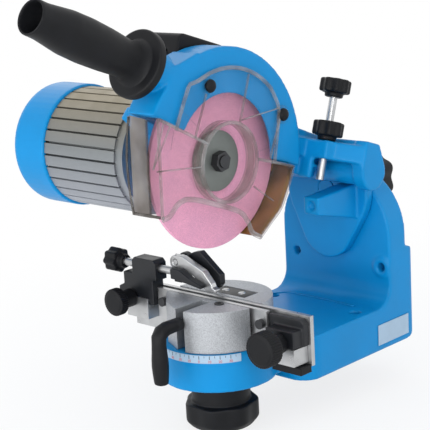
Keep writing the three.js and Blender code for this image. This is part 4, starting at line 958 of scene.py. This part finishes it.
def bevelled_block(first, second, edge, place):
    """A block between two corners, with rounded edges."""
    (x0, y0, z0), (x1, y1, z1) = first, second
    bm = bmesh.new()
    add_box(bm, [(x * MM, y * MM, z * MM) for z in (z0, z1) for y in (y0, y1) for x in (x0, x1)])
    bmesh.ops.bevel(bm, geom=list(bm.edges), offset=edge * MM, segments=3, affect="EDGES",
                    profile=0.5)
    bm.transform(place)
    return bm


# The plate in the drum's top, and the two studs in it
INSERT_CORNERS = (9.4, -23.6, 75.2), (26.6, 13.6, 77.7)
STUD_X, STUD_YS = 18, (-13, 5)
STUD_PROFILE = [(0, 78.6), (2.4, 78.6), (3.2, 77.9), (3.2, 77.2), (0, 77.2)]


def add_drum_insert(looks):
    """The black plate let into the drum's top, with its two studs."""
    bm = bevelled_block(*INSERT_CORNERS, 0.6, VISE)
    obj = add_piece("drum_insert", finished(bm, "drum_insert"), "vise_drum", looks,
                    "black_paint", False)
    for i, y in enumerate(STUD_YS):
        stud = spun_mesh("insert_stud", soften(STUD_PROFILE, 0.3, 2), VISE @ at(STUD_X, y, 0), 32)
        obj = add_piece("insert_stud_%d" % i, stud, "vise_drum", looks, "steel", False)


# The foot's raised edge: x and y along it, its height above the bench, and its own size
FOOT_EDGE = [(-18, 55), (6, 53), (18, 48), (23, 40), (24, 20), (24, -10), (22, -36)]
FOOT_EDGE_Z = 38.6
FOOT_EDGE_WIDTH, FOOT_EDGE_HEIGHT = 3.2, 0.7


def add_foot_edge(looks):
    """The raised edge that runs along the foot's top, in front of the column."""
    bm = bmesh.new()
    line = curve_through([(x, y, FOOT_EDGE_Z) for x, y in FOOT_EDGE], 8)
    strip(bm, line, FOOT_EDGE_WIDTH, FOOT_EDGE_HEIGHT, UP, LEVEL)
    add_piece("foot_edge", finished(bm, "foot_edge"), "base_casting", looks, replace=False)


# The scale round the vise's seat: its radius, the angle of its zero, and how far its lines are
# let in and stand proud
SCALE_RADIUS = 49.93
SCALE_ZERO = 205
LINE_SUNK, LINE_PROUD = 0.2, 0.06
LINE_TOP = 42.3
LONG_LINE, SHORT_LINE = (2.9, 0.26), (1.7, 0.18)
DIGIT_SIZE, DIGIT_DEPTH, DIGIT_FOOT = 3.0, 0.06, 36.6


def on_scale(reach, angle, z):
    return Vector((reach * math.cos(angle) + VISE_X, reach * math.sin(angle), z)) * MM


def add_scale_lines(looks):
    """Division lines, longer at every tenth degree."""
    bm = bmesh.new()
    for degree in range(-35, 36, 5):
        length, half_width = LONG_LINE if degree % 10 == 0 else SHORT_LINE
        angle = math.radians(SCALE_ZERO + degree)
        half = half_width / SCALE_RADIUS
        add_box(bm, [on_scale(r, a, z) for z in (LINE_TOP - length, LINE_TOP)
                     for r in (SCALE_RADIUS - LINE_SUNK, SCALE_RADIUS + LINE_PROUD)
                     for a in (angle - half, angle + half)])
    add_piece("scale_lines", finished(bm, "scale_lines"), "angle_scale", looks, "print_black",
              False)


def add_scale_digits(looks):
    """Plain numbers under the long lines, bent round the seat."""
    bm = bmesh.new()
    for degree in range(-30, 31, 10):
        text = bpy.data.curves.new("digits", "FONT")
        text.body = str(abs(degree))
        text.size = DIGIT_SIZE
        text.extrude = DIGIT_DEPTH
        text.align_x = "CENTER"
        mesh = applied(new_object("digits", text))
        for v in mesh.vertices:
            x, y, z = v.co
            angle = math.radians(SCALE_ZERO + degree) + x / SCALE_RADIUS
            v.co = on_scale(SCALE_RADIUS + z, angle, DIGIT_FOOT + y)
        bm.from_mesh(mesh)
    add_piece("scale_digits", finished(bm, "scale_digits"), "angle_scale", looks, "print_red",
              False)


add_camera()
add_world()
add_lights()
add_floor()
looks = make_looks()
dress_nodes(looks)
add_rounded(looks)
add_handle(looks)
add_knobs(looks)
add_lever(looks)
add_guard_screws(looks)
dress_guard(looks)
add_guard_ribs(looks)
add_guard_rim(looks)
add_drum_insert(looks)
add_foot_edge(looks)
add_scale_lines(looks)
add_scale_digits(looks)
